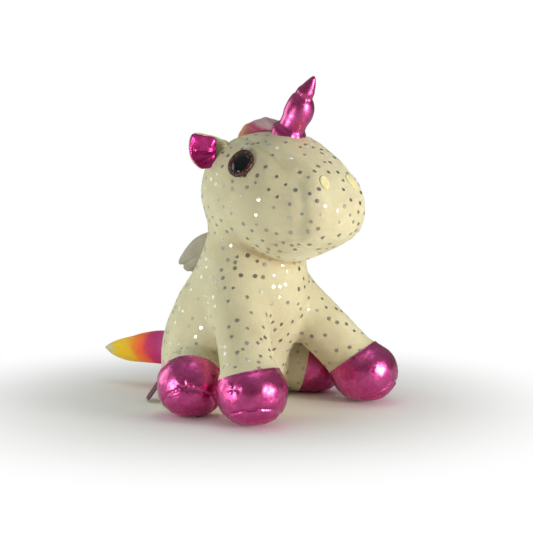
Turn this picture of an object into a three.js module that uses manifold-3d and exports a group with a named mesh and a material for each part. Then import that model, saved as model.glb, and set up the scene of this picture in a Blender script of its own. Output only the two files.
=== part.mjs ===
// A seated plush unicorn: stuffed torso, neck and head, four legs with foil-cloth hooves,
// a stuffed horn, ears, small wings, mane, tail and a sewn-in care label.
// Millimetres. +Z is up, the toy faces -Y and its left side is +X.
// The origin is on the flat seat, in the plane of symmetry.
import * as THREE from "three";
import { ConvexGeometry } from "three/addons/geometries/ConvexGeometry.js";
import { LoftGeometry } from "three/addons/geometries/LoftGeometry.js";
import { mergeVertices } from "three/addons/utils/BufferGeometryUtils.js";
import Module from "manifold-3d";

// ---- Driving dimensions ----

const SKIN = 1.8; // thickness of the pile cloth
const FOIL = 1.2; // thickness of the foil cloth and of the satin
const GAP = 0.3; // clearance between pieces that touch
const SLIP = 0.7; // clearance between pieces that move past each other
const SWEEP_ROOM = 2.6; // clearance round the space that a limb sweeps, over its facets
const LINING = SKIN + GAP; // depth of the stuffing below the outer surface
const THINNEST = 0.4; // half width of the smallest ring of a form

const TORSO = [
  // height, centre y, half width, half depth
  [0, 15, 42, 35],
  [5, 15, 48.5, 41],
  [16, 14, 53, 45],
  [36, 12, 54.5, 49.5],
  [58, 4, 53.5, 55],
  [82, -7, 49, 54.5],
  [104, -15, 43.5, 46],
  [132, -21, 37, 37.5],
];
const BELLY_HALF_WIDTH = 17; // of the panel between the front legs
const SEAT_HEIGHT = 6; // of the seam round the seat panel
const POUCH = { centre: [0, 21], low: 5, high: 33, radius: 15.5, cloth: 0.8, mouth: 3, neck: 8 };
const POUCH_FORM = [
  // height, share of the radius
  [POUCH.low, 0.75],
  [POUCH.low + 4, 0.95],
  [(POUCH.low + POUCH.high) / 2, 1],
  [POUCH.high - 6, 0.8],
  [POUCH.high - 1, 0.35],
  [POUCH.high, 0.14],
];
const POUCH_SLOT = { halfWidth: 7.75, top: 7 }; // open below the pouch

const NECK_CENTRE = [0, -21, 131];
const NECK_RADIUS = 36;
const NECK_SLIP = 2; // clearance round the stuffed ball of the neck
const NECK_TILT = 16.5; // degrees the neck's axis leans forward
const NECK_OPENING = 5.5; // degrees each rim stands back from the ball's equator
const HEAD_TURN = [-20, 0, 20]; // degrees to either side
const HEAD_NOD = 8; // degrees either way

const HEAD = [
  // y, centre height, half width, half height
  [15, 168, 8, 8],
  [12.5, 168, 21, 20],
  [5, 167.5, 34.5, 32],
  [-7, 167, 43.5, 41],
  [-23, 166.5, 48.5, 46.5],
  [-43, 166.5, 50, 48.5],
  [-62, 165.3, 48, 47.2],
  [-79, 161.7, 44.5, 41.7],
  [-93, 158.4, 41, 34.5],
  [-104, 156.4, 35, 26.5],
  [-111, 155.4, 25, 18],
  [-115, 155, 15, 11],
  [-116.8, 155, 6, 5],
];
const HEAD_FULLNESS = 2.15; // 2 is an ellipse, more is squarer
const GUSSET = [
  // y and half width of the panel over the forehead and nose
  [2, 7],
  [-20, 18],
  [-50, 28],
  [-72, 32.5],
  [-130, 33],
];
const MOUTH_HEIGHT = 138; // of the seam between the gusset and the chin panel
const CHIN_HALF_WIDTH = 26;

const FRONT_LEG = {
  root: [29, -29, 87],
  hoof: [63.5, -79.6, 24.6],
  rootRadius: 21.5,
  legRadius: 20.8,
  hoofRadius: 25.4,
  cuff: 15, // distance of the hoof's upper seam from the hoof's centre
  swing: [-3, 12], // degrees forward: least and most
};
const HIND_LEG = {
  root: [31, 11, 31],
  hoof: [68, -20, 24],
  rootRadius: 26,
  legRadius: 25,
  hoofRadius: 25.2,
  cuff: 10,
  swing: [-2, 12], // degrees outwards
};
const LEG_SPREAD = 1.05; // width of a leg over its depth
const ROOT_END = [
  // the rounded end inside the torso: distance behind the root and radius, over the root's radius
  [0.42, 0.4],
  [0.33, 0.72],
  [0.16, 0.94],
];
const TOE_END = [
  // the rounded end of the hoof: distance past its centre and radius, over the hoof's radius
  [0.45, 0.9],
  [0.82, 0.58],
  [0.98, 0.2],
];
const MID_LEG_SWELL = 0.5; // extra radius halfway down the leg
const CUFF_FLARE = { above: 3, below: 4, swell: 2 }; // where the leg widens into the hoof
const SWEPT_STATIONS = [0, 2, 3, 5]; // stations of a leg that set the space it sweeps
const SKIN_TUCK = 6; // how far the leg's skin reaches behind its root
const SOLE_DISTANCE = 17; // of the sole's seam from the hoof's centre
const SOLE_DIP = 0.8; // how far the sole turns down from the leg's direction

const HORN_BASE = [0, -58, 214.5];
const HORN_LEAN = 31; // degrees forward
const HORN_BALL = 12; // radius of the rounded underside
const HORN_UNDERSIDE = [60, 30]; // degrees below the widest ring, from the bottom up
const HORN_TIP = 0.6; // height of the point over the last ring
const HORN_ROOM = 1.82; // clearance in the head round the rounded underside
const HORN_TO_MANE = 3; // clearance in the mane round the rounded underside
const HORN = [
  // height, radius
  [2.5, 12.5],
  [5, 9.8],
  [9, 9.6],
  [15, 10.6],
  [21, 9.8],
  [26, 7.2],
  [28.5, 5.2],
  [30.5, 5.8],
  [35, 4.9],
  [40, 3.4],
  [44, 1.9],
  [46, 0.9],
];
const THREAD = { height: 28.4, loop: 6.9, radius: 0.6 }; // cinches the horn

const EYE = { at: [44.3, -48.8, 190.8], facing: [0.86, -0.1, 0.49], radius: 11, pupil: 7.8 };
const RIM = { edge: 0.9, crown: 2.4, crownInset: 1.4, inner: 1.8 }; // heights over the cloth
const STEM = { radius: 1.6, length: 9 }; // behind the pupil
const DOME = [
  // share of the pupil's radius, height
  [1, 0],
  [0.94, 1.9],
  [0.72, 3.5],
  [0.4, 4.5],
  [0, 4.9],
];
const WASHER = { radius: 6, far: -5.6, near: -4.2 };
const EYE_ROOM = 0.4; // clearance round the stem's end and the washer
const EYE_ROOM_OUT = 9; // height to which the head is kept clear over an eye
const NOSTRIL = { at: [14.3, -105, 175.8], facing: [0.3, -0.7, 0.65], half: [4, 5.6], raised: 0.9 };
const NOSTRIL_REACH = 16; // length of the oval that outlines a nostril

const EAR = { root: [37, -18, 197], outward: [0.75, 0.66], fold: 2.2, swing: [-8, 6, 20] };
const WING = {
  root: [9, 27.5, 102],
  outward: [0.5, 0.866],
  rise: [0, -0.447, 0.894], // direction of the wing's root edge
  swing: [-15, 0, 15],
};
const WING_CLOTH = 1.9; // thickness of each padded satin layer

const TAIL = [
  // x, y, height, half width, half height
  [0, 47, 33, 3, 3],
  [0, 49, 33, 7.5, 8],
  [0, 56, 33, 11, 12],
  [-1, 68, 33, 11.5, 13.2],
  [-4, 84, 32.4, 11.5, 14],
  [-8, 104, 31, 10, 12.4],
  [-12.5, 120, 29, 7.5, 9.6],
  [-17, 131, 28.6, 4.6, 5.6],
  [-20, 138, 28.8, 1, 1],
];
const TAIL_ROOT = [0, 56, 33];
const TAIL_SWING = [-20, 20];
const TAIL_ROOT_STATIONS = 4; // that set the space the tail's root sweeps

const MANE = [
  // y, height, half width, half height
  [-3, 203, 3, 3],
  [-8, 206.5, 7, 6.5],
  [-16, 210.5, 8.5, 8],
  [-27, 214, 9, 8.5],
  [-37, 215, 8, 6],
  [-43, 215, 6, 4],
];

// Facets round each form
const TORSO_SIDES = 18;
const HEAD_SIDES = 18;
const LEG_SIDES = 12;
const TAIL_SIDES = 10;
const MANE_SIDES = 12;
const SWEEP_SIDES = 8;
const EYE_SIDES = 14;
const OVAL_SIDES = 12; // of the nostrils and the pouch's mouth
const HORN_SIDES = 12;
const THREAD_FACETS = [6, 14]; // round the thread and along its loop
const NECK_FACETS = [16, 10]; // round the ball and from pole to pole
const HORN_BALL_ROWS = 8;
const RIM_CONE_SIDES = 24;
const CURVE_STEPS = 6;
const WELD = 1e-3; // vertices closer than this are one

const LABEL = { root: [-46.4, 37.9, 19.5], width: 15, length: 21, thickness: 0.9 };
const LABEL_OUT = [-0.83, 0.56, 0]; // away from the side seam
const LABEL_DROOP = 58; // degrees below level

const X = new THREE.Vector3(1, 0, 0);
const Y = new THREE.Vector3(0, 1, 0);
const Z = new THREE.Vector3(0, 0, 1);
const FAR = 400; // larger than the toy
const { degToRad } = THREE.MathUtils;
const vector = (values) => new THREE.Vector3(...values);
const SIDES = [
  ["left", 1],
  ["right", -1],
];
const mirrored = ([x, y, z], side) => new THREE.Vector3(side * x, y, z);

const wasm = await Module();
wasm.setup();

// ---- Solids ----

function solidOf(geometry) {
  const plain = geometry.index ? geometry.toNonIndexed() : geometry.clone();
  plain.deleteAttribute("normal");
  plain.deleteAttribute("uv");
  const merged = mergeVertices(plain, WELD);
  const all = merged.index.array;
  const kept = [];
  for (let i = 0; i < all.length; i += 3) {
    const [a, b, c] = [all[i], all[i + 1], all[i + 2]];
    if (a !== b && b !== c && c !== a) kept.push(a, b, c);
  }
  const mesh = new wasm.Mesh({
    numProp: 3,
    vertProperties: merged.attributes.position.array,
    triVerts: new Uint32Array(kept),
  });
  return new wasm.Manifold(mesh);
}

function geometryOf(solid) {
  const mesh = solid.getMesh();
  const geometry = new THREE.BufferGeometry();
  geometry.setAttribute("position", new THREE.BufferAttribute(mesh.vertProperties, 3));
  geometry.setIndex(new THREE.BufferAttribute(mesh.triVerts, 1));
  const faceted = geometry.toNonIndexed();
  faceted.computeVertexNormals();
  return faceted;
}

// Keeps the main body of a solid that a cut has left with offcuts.
function mainBody(solid) {
  const bodies = solid.decompose();
  return bodies.reduce((best, body) => (body.volume() > best.volume() ? body : best));
}

// A box between two corners.
function boxSolid(low, high) {
  const size = high.map((value, i) => value - low[i]);
  const middle = low.map((value, i) => value + size[i] / 2);
  return solidOf(new THREE.BoxGeometry(...size).translate(...middle));
}

// Everything past a point, along a direction.
function beyond(point, direction) {
  const turn = new THREE.Quaternion().setFromUnitVectors(Z, direction.clone().normalize());
  const slab = new THREE.BoxGeometry(2 * FAR, 2 * FAR, FAR).translate(0, 0, FAR / 2);
  return solidOf(slab.applyQuaternion(turn).translate(...point.toArray()));
}

const above = (height) => beyond(new THREE.Vector3(0, 0, height), Z);

// The two sides of a plane, with half of the sewing gap left on each.
function splitAt(point, direction) {
  const offset = direction.clone().normalize().multiplyScalar(GAP / 2);
  const back = direction.clone().negate();
  return [beyond(point.clone().sub(offset), back), beyond(point.clone().add(offset), direction)];
}

// A ring of points round a centre, fuller than an ellipse when the power is above 2.
function ring(centre, across, up, halfWidth, halfHeight, count, power = 2) {
  const points = [];
  for (let i = 0; i < count; i++) {
    const angle = (2 * Math.PI * (i + 0.5)) / count;
    const c = Math.cos(angle);
    const s = Math.sin(angle);
    const w = Math.sign(c) * Math.abs(c) ** (2 / power) * Math.max(halfWidth, THINNEST);
    const h = Math.sign(s) * Math.abs(s) ** (2 / power) * Math.max(halfHeight, THINNEST);
    points.push(centre.clone().addScaledVector(across, w).addScaledVector(up, h));
  }
  return points;
}

const loft = (rings) => solidOf(new LoftGeometry(rings, { capStart: true, capEnd: true }));

// Distance by which a form's rings move in at its two ends when the whole form is inset.
const END_SHARES = [1, 0.75, 0.4];
function endShift(i, count, inset) {
  const fromStart = END_SHARES[i] ?? 0;
  const fromEnd = END_SHARES[count - 1 - i] ?? 0;
  return inset * (fromStart - fromEnd);
}

// A round form along a line of stations, [centre, half width, half height], set in by a distance.
function formAlong(stations, inset, count, power) {
  const last = stations.length - 1;
  const rings = stations.map(([centre, w, h], i) => {
    const next = stations[Math.min(i + 1, last)][0];
    const before = stations[Math.max(i - 1, 0)][0];
    const along = next.clone().sub(before).normalize();
    const across = new THREE.Vector3().crossVectors(Z, along).normalize();
    const up = new THREE.Vector3().crossVectors(along, across);
    const middle = centre.clone().addScaledVector(along, endShift(i, stations.length, inset));
    return ring(middle, across, up, w - inset, h - inset, count, power);
  });
  return loft(rings);
}

// The solid of a profile turned round the Z axis; it may close on the axis or on itself.
function turned(profile, count) {
  const points = profile.map(([radius, height]) => new THREE.Vector2(radius, height));
  return new THREE.LatheGeometry(points, count).rotateX(Math.PI / 2);
}

// Sets a geometry made along Z at a point, facing a direction.
function placed(geometry, point, direction) {
  const turn = new THREE.Quaternion().setFromUnitVectors(Z, direction.clone().normalize());
  return geometry.clone().applyQuaternion(turn).translate(...point.toArray());
}

function rotatedAbout(geometry, point, axis, degrees) {
  const turn = new THREE.Quaternion().setFromAxisAngle(axis, degToRad(degrees));
  const moved = geometry.clone().translate(-point.x, -point.y, -point.z);
  return moved.applyQuaternion(turn).translate(...point.toArray());
}

// The convex space that a set of points sweeps as it turns about an axis.
function sweptSpace(points, pivot, axis, angles) {
  const cloud = new THREE.BufferGeometry().setFromPoints(points);
  const all = [];
  for (const degrees of angles) {
    const moved = rotatedAbout(cloud, pivot, axis, degrees).attributes.position;
    for (let i = 0; i < moved.count; i++) all.push(new THREE.Vector3().fromBufferAttribute(moved, i));
  }
  return solidOf(new ConvexGeometry(all));
}

// ---- Pieces ----

const toy = new THREE.Group();
const finishes = {
  cream: { color: 0xe6dfb8, roughness: 0.9, metalness: 0 },
  magenta: { color: 0xb0306f, roughness: 0.3, metalness: 0.7 },
  stuffing: { color: 0xf2f0ea, roughness: 0.95, metalness: 0 },
  satin: { color: 0xa09c86, roughness: 0.45, metalness: 0 },
  rainbow: { color: 0xf0803c, roughness: 0.8, metalness: 0 },
  lilac: { color: 0xd3a3b8, roughness: 0.8, metalness: 0 },
  black: { color: 0x101216, roughness: 0.08, metalness: 0 },
  glitter: { color: 0x8e666a, roughness: 0.35, metalness: 0.6 },
  nostril: { color: 0xe8e0a8, roughness: 0.6, metalness: 0 },
  white_plastic: { color: 0xe9e9e6, roughness: 0.5, metalness: 0 },
  label: { color: 0x6a0f3c, roughness: 0.5, metalness: 0 },
  linen: { color: 0xd8d4c6, roughness: 0.9, metalness: 0 },
};

function addPiece(name, solid, finish, parent = toy) {
  const mesh = new THREE.Mesh(geometryOf(solid), new THREE.MeshStandardMaterial(finishes[finish]));
  mesh.name = name;
  parent.add(mesh);
}

// ---- Neck ----

const neckCentre = vector(NECK_CENTRE);
const neckAxis = new THREE.Vector3(0, -Math.sin(degToRad(NECK_TILT)), Math.cos(degToRad(NECK_TILT)));

function neckBall(radius) {
  const ball = new THREE.SphereGeometry(radius, ...NECK_FACETS).rotateX(Math.PI / 2);
  return solidOf(placed(ball, neckCentre, neckAxis));
}

// What lies above (+1) or below (-1) a wide cone that opens from the neck's equator.
function neckSide(side) {
  const rise = FAR * Math.tan(degToRad(NECK_OPENING));
  const profile = [
    [0, 0],
    [FAR, rise],
    [FAR, FAR],
    [0, FAR],
  ];
  return solidOf(placed(turned(profile, RIM_CONE_SIDES), neckCentre, neckAxis.clone().multiplyScalar(side)));
}

const neckSpace = neckBall(NECK_RADIUS + NECK_SLIP);
addPiece("neck_stuffing", neckBall(NECK_RADIUS), "stuffing");

// ---- Legs ----

function legForm(leg, side) {
  const root = mirrored(leg.root, side);
  const hoof = mirrored(leg.hoof, side);
  const along = hoof.clone().sub(root).normalize();
  const span = hoof.distanceTo(root);
  const { rootRadius, legRadius, hoofRadius, cuff } = leg;
  const profile = [
    ...ROOT_END.map(([behind, share]) => [-span - rootRadius * behind, rootRadius * share]),
    [-span, rootRadius],
    [-span / 2, legRadius + MID_LEG_SWELL],
    [-cuff - CUFF_FLARE.above, legRadius],
    [-cuff + CUFF_FLARE.below, legRadius + CUFF_FLARE.swell],
    [0, hoofRadius],
    ...TOE_END.map(([past, share]) => [hoofRadius * past, hoofRadius * share]),
  ];
  const stations = profile.map(([distance, radius]) => [
    hoof.clone().addScaledVector(along, distance),
    radius * LEG_SPREAD,
    radius,
  ]);
  return { root, hoof, along, stations, solid: (inset) => formAlong(stations, inset, LEG_SIDES) };
}

// The space that the upper part of a leg sweeps about its root.
function legSpace(leg, form, axis) {
  const points = [];
  const upper = SWEPT_STATIONS.map((station) => form.stations[station]);
  const across = new THREE.Vector3().crossVectors(Z, form.along).normalize();
  const up = new THREE.Vector3().crossVectors(form.along, across);
  upper.forEach(([centre, w, h], i) => {
    const middle = centre.clone().addScaledVector(form.along, i === 0 ? -SWEEP_ROOM : 0);
    points.push(...ring(middle, across, up, w + SWEEP_ROOM, h + SWEEP_ROOM, SWEEP_SIDES));
  });
  return sweptSpace(points, form.root, axis, leg.swing);
}

function addLeg(kind, leg, sideName, side, axis) {
  const form = legForm(leg, side);
  const outer = form.solid(0).intersect(above(0));
  const shell = outer.subtract(form.solid(SKIN).intersect(above(SKIN)));
  const cuff = form.hoof.clone().addScaledVector(form.along, -leg.cuff);
  const [aboveCuff, belowCuff] = splitAt(cuff, form.along);
  const down = form.along.clone().add(new THREE.Vector3(0, 0, -SOLE_DIP)).normalize();
  const seam = form.hoof.clone().addScaledVector(down, SOLE_DISTANCE);
  const [aboveSole, belowSole] = splitAt(seam, down);
  const pastRoot = beyond(form.root.clone().addScaledVector(form.along, -SKIN_TUCK), form.along);
  const stuffing = form.solid(LINING).intersect(above(LINING));
  addPiece(`${kind}_leg_${sideName}_skin`, shell.intersect(aboveCuff).intersect(pastRoot), "cream");
  addPiece(`${kind}_hoof_${sideName}`, shell.intersect(belowCuff).intersect(aboveSole), "magenta");
  addPiece(`${kind}_sole_${sideName}`, shell.intersect(belowSole), "magenta");
  addPiece(`${kind}_leg_${sideName}_stuffing`, stuffing, "stuffing");
  return legSpace(leg, form, axis);
}

const hollows = [];
for (const [name, side] of SIDES) {
  hollows.push(addLeg("front", FRONT_LEG, name, side, X.clone().negate()));
  hollows.push(addLeg("hind", HIND_LEG, name, side, Z.clone().multiplyScalar(side)));
}

// ---- Tail ----

const tailStations = TAIL.map(([x, y, z, w, h]) => [new THREE.Vector3(x, y, z), w, h]);
const tailRoot = vector(TAIL_ROOT);
const tailSkinStart = beyond(tailRoot, Y);
const tailForm = (inset) => formAlong(tailStations, inset, TAIL_SIDES);
const tailShell = tailForm(0).subtract(tailForm(SKIN));
addPiece("tail_skin", mainBody(tailShell.intersect(tailSkinStart)), "rainbow");
addPiece("tail_stuffing", tailForm(LINING), "stuffing");

const tailRings = tailStations.slice(0, TAIL_ROOT_STATIONS).flatMap(([centre, w, h]) => {
  const middle = centre.clone().addScaledVector(Y, centre.y < TAIL_ROOT[1] ? -SLIP : 0);
  return ring(middle, X.clone().negate(), Z, w + SWEEP_ROOM, h + SWEEP_ROOM, SWEEP_SIDES);
});
hollows.push(sweptSpace(tailRings, tailRoot, Z, TAIL_SWING));

// ---- Torso ----

function torsoForm(inset) {
  const rings = TORSO.map(([z, y, rx, ry], i) => {
    const centre = new THREE.Vector3(0, y, z + (i === 0 ? inset : 0));
    return ring(centre, X, Y, rx - inset, ry - inset, TORSO_SIDES);
  });
  return loft(rings);
}

const hollow = hollows.reduce((sum, solid) => sum.add(solid), neckSpace).add(neckSide(1));
const torsoCut = (solid) => solid.subtract(hollow).intersect(neckSide(-1));
function pouchForm(inset) {
  const rings = POUCH_FORM.map(([z, share], i) => {
    const centre = new THREE.Vector3(...POUCH.centre, z + endShift(i, POUCH_FORM.length, inset));
    const radius = share * POUCH.radius - inset;
    return ring(centre, X, Y, radius, radius, LEG_SIDES);
  });
  return loft(rings);
}

const pouchMouth = solidOf(
  new THREE.CylinderGeometry(POUCH.mouth, POUCH.mouth, POUCH.neck, OVAL_SIDES)
    .rotateX(Math.PI / 2)
    .translate(...POUCH.centre, POUCH.high),
);
const { halfWidth: slot, top: slotTop } = POUCH_SLOT;
const pouchWay = boxSolid([-slot, POUCH.centre[1] - slot, 0], [slot, POUCH.centre[1] + slot, slotTop]);
addPiece("pellet_pouch", pouchForm(0).subtract(pouchForm(POUCH.cloth)).subtract(pouchMouth), "linen");
addPiece("pellet_fill", pouchForm(POUCH.cloth + GAP), "white_plastic");
const torsoCore = torsoCut(torsoForm(LINING)).subtract(pouchForm(-GAP)).subtract(pouchWay);
addPiece("torso_stuffing", mainBody(torsoCore), "stuffing");

const torsoShell = torsoCut(torsoForm(0).subtract(torsoForm(SKIN)));
const [underSeat, overSeat] = splitAt(new THREE.Vector3(0, 0, SEAT_HEIGHT), Z);
const bellyZone = boxSolid([-BELLY_HALF_WIDTH, -FAR, 0], [BELLY_HALF_WIDTH, 0, FAR]);
const bellyEdge = BELLY_HALF_WIDTH + GAP;
const bellyRoom = boxSolid([-bellyEdge, -FAR, 0], [bellyEdge, 0, FAR]);
const torsoSides = torsoShell.intersect(overSeat).subtract(bellyRoom);
addPiece("seat_panel", mainBody(torsoShell.intersect(underSeat)), "cream");
addPiece("belly_panel", mainBody(torsoShell.intersect(overSeat).intersect(bellyZone)), "cream");
const [rightHalf, leftHalf] = splitAt(new THREE.Vector3(), X);
addPiece("torso_side_left", mainBody(torsoSides.intersect(leftHalf)), "cream");
addPiece("torso_side_right", mainBody(torsoSides.intersect(rightHalf)), "cream");

// ---- Head ----

function headForm(inset) {
  const rings = HEAD.map(([y, z, rx, rz], i) => {
    const centre = new THREE.Vector3(0, y - endShift(i, HEAD.length, inset), z);
    return ring(centre, X, Z, rx - inset, rz - inset, HEAD_SIDES, HEAD_FULLNESS);
  });
  return loft(rings);
}

// An eye, made along Z with its back at height 0: a domed pupil with a stem,
// a glitter rim round it and a washer that locks the stem inside the head.
const rimHole = EYE.pupil + GAP;
const stemHole = STEM.radius + GAP;
const eyeRim = turned(
  [
    [rimHole, 0],
    [EYE.radius, 0],
    [EYE.radius, RIM.edge],
    [EYE.radius - RIM.crownInset, RIM.crown],
    [rimHole, RIM.inner],
    [rimHole, 0],
  ],
  EYE_SIDES,
);
const eyePupil = turned(
  [
    [0, -STEM.length],
    [STEM.radius, -STEM.length],
    [STEM.radius, 0],
    ...DOME.map(([share, height]) => [EYE.pupil * share, height]),
  ],
  EYE_SIDES,
);
const eyeWasher = turned(
  [
    [stemHole, WASHER.far],
    [WASHER.radius, WASHER.far],
    [WASHER.radius, WASHER.near],
    [stemHole, WASHER.near],
    [stemHole, WASHER.far],
  ],
  EYE_SIDES,
);
// The room an eye needs in the skin and the stuffing.
const eyeRoom = turned(
  [
    [0, -STEM.length - EYE_ROOM],
    [WASHER.radius + EYE_ROOM, -STEM.length - EYE_ROOM],
    [WASHER.radius + EYE_ROOM, WASHER.near + EYE_ROOM],
    [stemHole, WASHER.near + EYE_ROOM],
    [stemHole, -GAP],
    [EYE.radius + GAP, -GAP],
    [EYE.radius + GAP, EYE_ROOM_OUT],
    [0, EYE_ROOM_OUT],
  ],
  EYE_SIDES,
);

const eyes = SIDES.map(([name, side]) => ({
  name,
  at: mirrored(EYE.at, side),
  facing: mirrored(EYE.facing, side),
}));
const hornAxis = new THREE.Vector3(0, -Math.sin(degToRad(HORN_LEAN)), Math.cos(degToRad(HORN_LEAN)));
const hornBase = vector(HORN_BASE);
const hornRoom = (clearance) =>
  new THREE.SphereGeometry(HORN_BALL + clearance, HORN_SIDES, HORN_BALL_ROWS).rotateX(Math.PI / 2);
const hornCentre = hornBase.clone().addScaledVector(hornAxis, HORN[0][0]);
const headRoom = eyes.reduce(
  (sum, { at, facing }) => sum.add(solidOf(placed(eyeRoom, at, facing))),
  neckSpace.add(solidOf(placed(hornRoom(HORN_ROOM), hornCentre, hornAxis))),
);
const headCut = (solid) => solid.intersect(neckSide(1)).subtract(headRoom);

for (const { name, at, facing } of eyes) {
  addPiece(`eye_${name}_rim`, solidOf(placed(eyeRim, at, facing)), "glitter");
  addPiece(`eye_${name}_pupil`, solidOf(placed(eyePupil, at, facing)), "black");
  addPiece(`eye_${name}_washer`, solidOf(placed(eyeWasher, at, facing)), "white_plastic");
}
addPiece("head_stuffing", mainBody(headCut(headForm(LINING))), "stuffing");

// The panel over the forehead and nose, seen from above.
function gussetZone(extra) {
  const edge = GUSSET.map(([y, halfWidth]) => new THREE.Vector2(halfWidth + extra, y + extra));
  const other = edge.map(({ x, y }) => new THREE.Vector2(-x, y)).reverse();
  const outline = new THREE.Shape([...edge, ...other]);
  const prism = new THREE.ExtrudeGeometry(outline, { depth: FAR, bevelEnabled: false });
  return solidOf(prism.translate(0, 0, MOUTH_HEIGHT - extra / 2));
}
const chinZone = (extra) =>
  boxSolid(
    [-CHIN_HALF_WIDTH - extra, -FAR, 0],
    [CHIN_HALF_WIDTH + extra, FAR, MOUTH_HEIGHT - GAP + extra / 2],
  );

const headShell = headCut(headForm(0).subtract(headForm(SKIN)));
const headSides = headShell.subtract(gussetZone(GAP)).subtract(chinZone(GAP));
addPiece("forehead_gusset", mainBody(headShell.intersect(gussetZone(0))), "cream");
addPiece("chin_panel", mainBody(headShell.intersect(chinZone(0))), "cream");
addPiece("head_side_left", mainBody(headSides.intersect(leftHalf)), "cream");
addPiece("head_side_right", mainBody(headSides.intersect(rightHalf)), "cream");

// Satin-stitched nostrils, raised on the cloth.
const nostrilLayer = headForm(-GAP - NOSTRIL.raised).subtract(headForm(-GAP));
for (const [name, side] of SIDES) {
  const oval = new THREE.CylinderGeometry(1, 1, NOSTRIL_REACH, OVAL_SIDES).rotateX(Math.PI / 2);
  oval.scale(...NOSTRIL.half, 1);
  const cut = placed(oval, mirrored(NOSTRIL.at, side), mirrored(NOSTRIL.facing, side));
  addPiece(`nostril_${name}`, mainBody(nostrilLayer.intersect(solidOf(cut))), "nostril");
}

// ---- Horn ----

function hornProfile(inset) {
  const ball = HORN_BALL - inset;
  const low = HORN[0][0];
  const under = HORN_UNDERSIDE.map((angle) => {
    const turn = degToRad(angle);
    return [ball * Math.cos(turn), low - ball * Math.sin(turn)];
  });
  const side = HORN.map(([height, radius]) => [Math.max(radius - inset, GAP), height]);
  return [[0, low - ball], ...under, ...side, [0, HORN.at(-1)[0] + HORN_TIP - inset]];
}
const hornSolid = (inset) => solidOf(placed(turned(hornProfile(inset), HORN_SIDES), hornBase, hornAxis));
const hornSkinStart = beyond(hornBase, hornAxis);
const hornShell = hornSolid(0).subtract(hornSolid(FOIL)).intersect(hornSkinStart);
addPiece("horn_skin", mainBody(hornShell), "magenta");
addPiece("horn_stuffing", hornSolid(FOIL + GAP), "stuffing");
const thread = new THREE.TorusGeometry(THREAD.loop, THREAD.radius, ...THREAD_FACETS);
thread.translate(0, 0, THREAD.height);
addPiece("horn_thread", solidOf(placed(thread, hornBase, hornAxis)), "magenta");

// ---- Mane ----

const maneStations = MANE.map(([y, z, w, h]) => [new THREE.Vector3(0, y, z), w, h]);
const hornSweep = solidOf(placed(hornRoom(HORN_TO_MANE), hornCentre, hornAxis));
const maneRoom = headForm(-GAP).add(hornSweep);
addPiece("mane", mainBody(formAlong(maneStations, 0, MANE_SIDES).subtract(maneRoom)), "lilac");

// ---- Ears and wings ----

// A flat outline in a plane through a point, thickened to one side of it.
function flatPiece(outline, from, to, root, across, up) {
  const shape = new THREE.Shape(outline.map(([x, y]) => new THREE.Vector2(x, y)));
  const options = { depth: to - from, bevelEnabled: false, curveSegments: CURVE_STEPS };
  const sheet = new THREE.ExtrudeGeometry(shape, options).translate(0, 0, from);
  const facing = new THREE.Vector3().crossVectors(across, up);
  const basis = new THREE.Matrix4().makeBasis(across, up, facing).setPosition(root);
  return sheet.applyMatrix4(basis);
}

// Outlines run from the root outwards and from the lower edge upwards.
const EAR_INNER = [
  [4, -7],
  [9, -9.5],
  [14, -9],
  [19, -3.5],
  [20.5, 4],
  [19.5, 11],
  [16.5, 13.5],
  [9, 12],
  [3.5, 9],
];
const EAR_OUTER = [
  [-7, 2],
  [3, -9],
  [9, -11],
  [14.5, -10.5],
  [20.3, -4],
  [22, 4],
  [21, 12],
  [17, 15],
  [8, 13.7],
  [-7, 10],
];
const WING_OUTLINE = [
  [-4, 1],
  [3, -2.5],
  [7, -2],
  [9.5, 1.5],
  [13.5, -0.5],
  [16.5, 2],
  [17.5, 6.5],
  [21, 5.5],
  [22.3, 9],
  [20.5, 17],
  [17, 25.5],
  [11, 31.5],
  [5, 33.5],
  [-4, 32],
];

// Trims a piece clear of what it hinges on, over its swing about an axis.
function trimmed(solid, obstacle, pivot, axis, angles) {
  const clear = angles.reduce(
    (left, degrees) => left.subtract(solidOf(rotatedAbout(obstacle, pivot, axis, -degrees))),
    solid,
  );
  return mainBody(clear);
}

const headClear = geometryOf(headForm(-SLIP));
for (const [name, side] of SIDES) {
  const root = mirrored(EAR.root, side);
  const outward = mirrored([...EAR.outward, 0], side).normalize();
  const axis = Z.clone().multiplyScalar(side);
  const layer = (near, far) => (side < 0 ? [-far, -near] : [near, far]);
  const inner = solidOf(flatPiece(EAR_INNER, ...layer(GAP, GAP + FOIL), root, outward, Z));
  const outer = solidOf(flatPiece(EAR_OUTER, ...layer(-EAR.fold, 0), root, outward, Z));
  addPiece(`ear_${name}_inner`, trimmed(inner, headClear, root, axis, EAR.swing), "magenta");
  addPiece(`ear_${name}_outer`, trimmed(outer, headClear, root, axis, EAR.swing), "cream");
}

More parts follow.
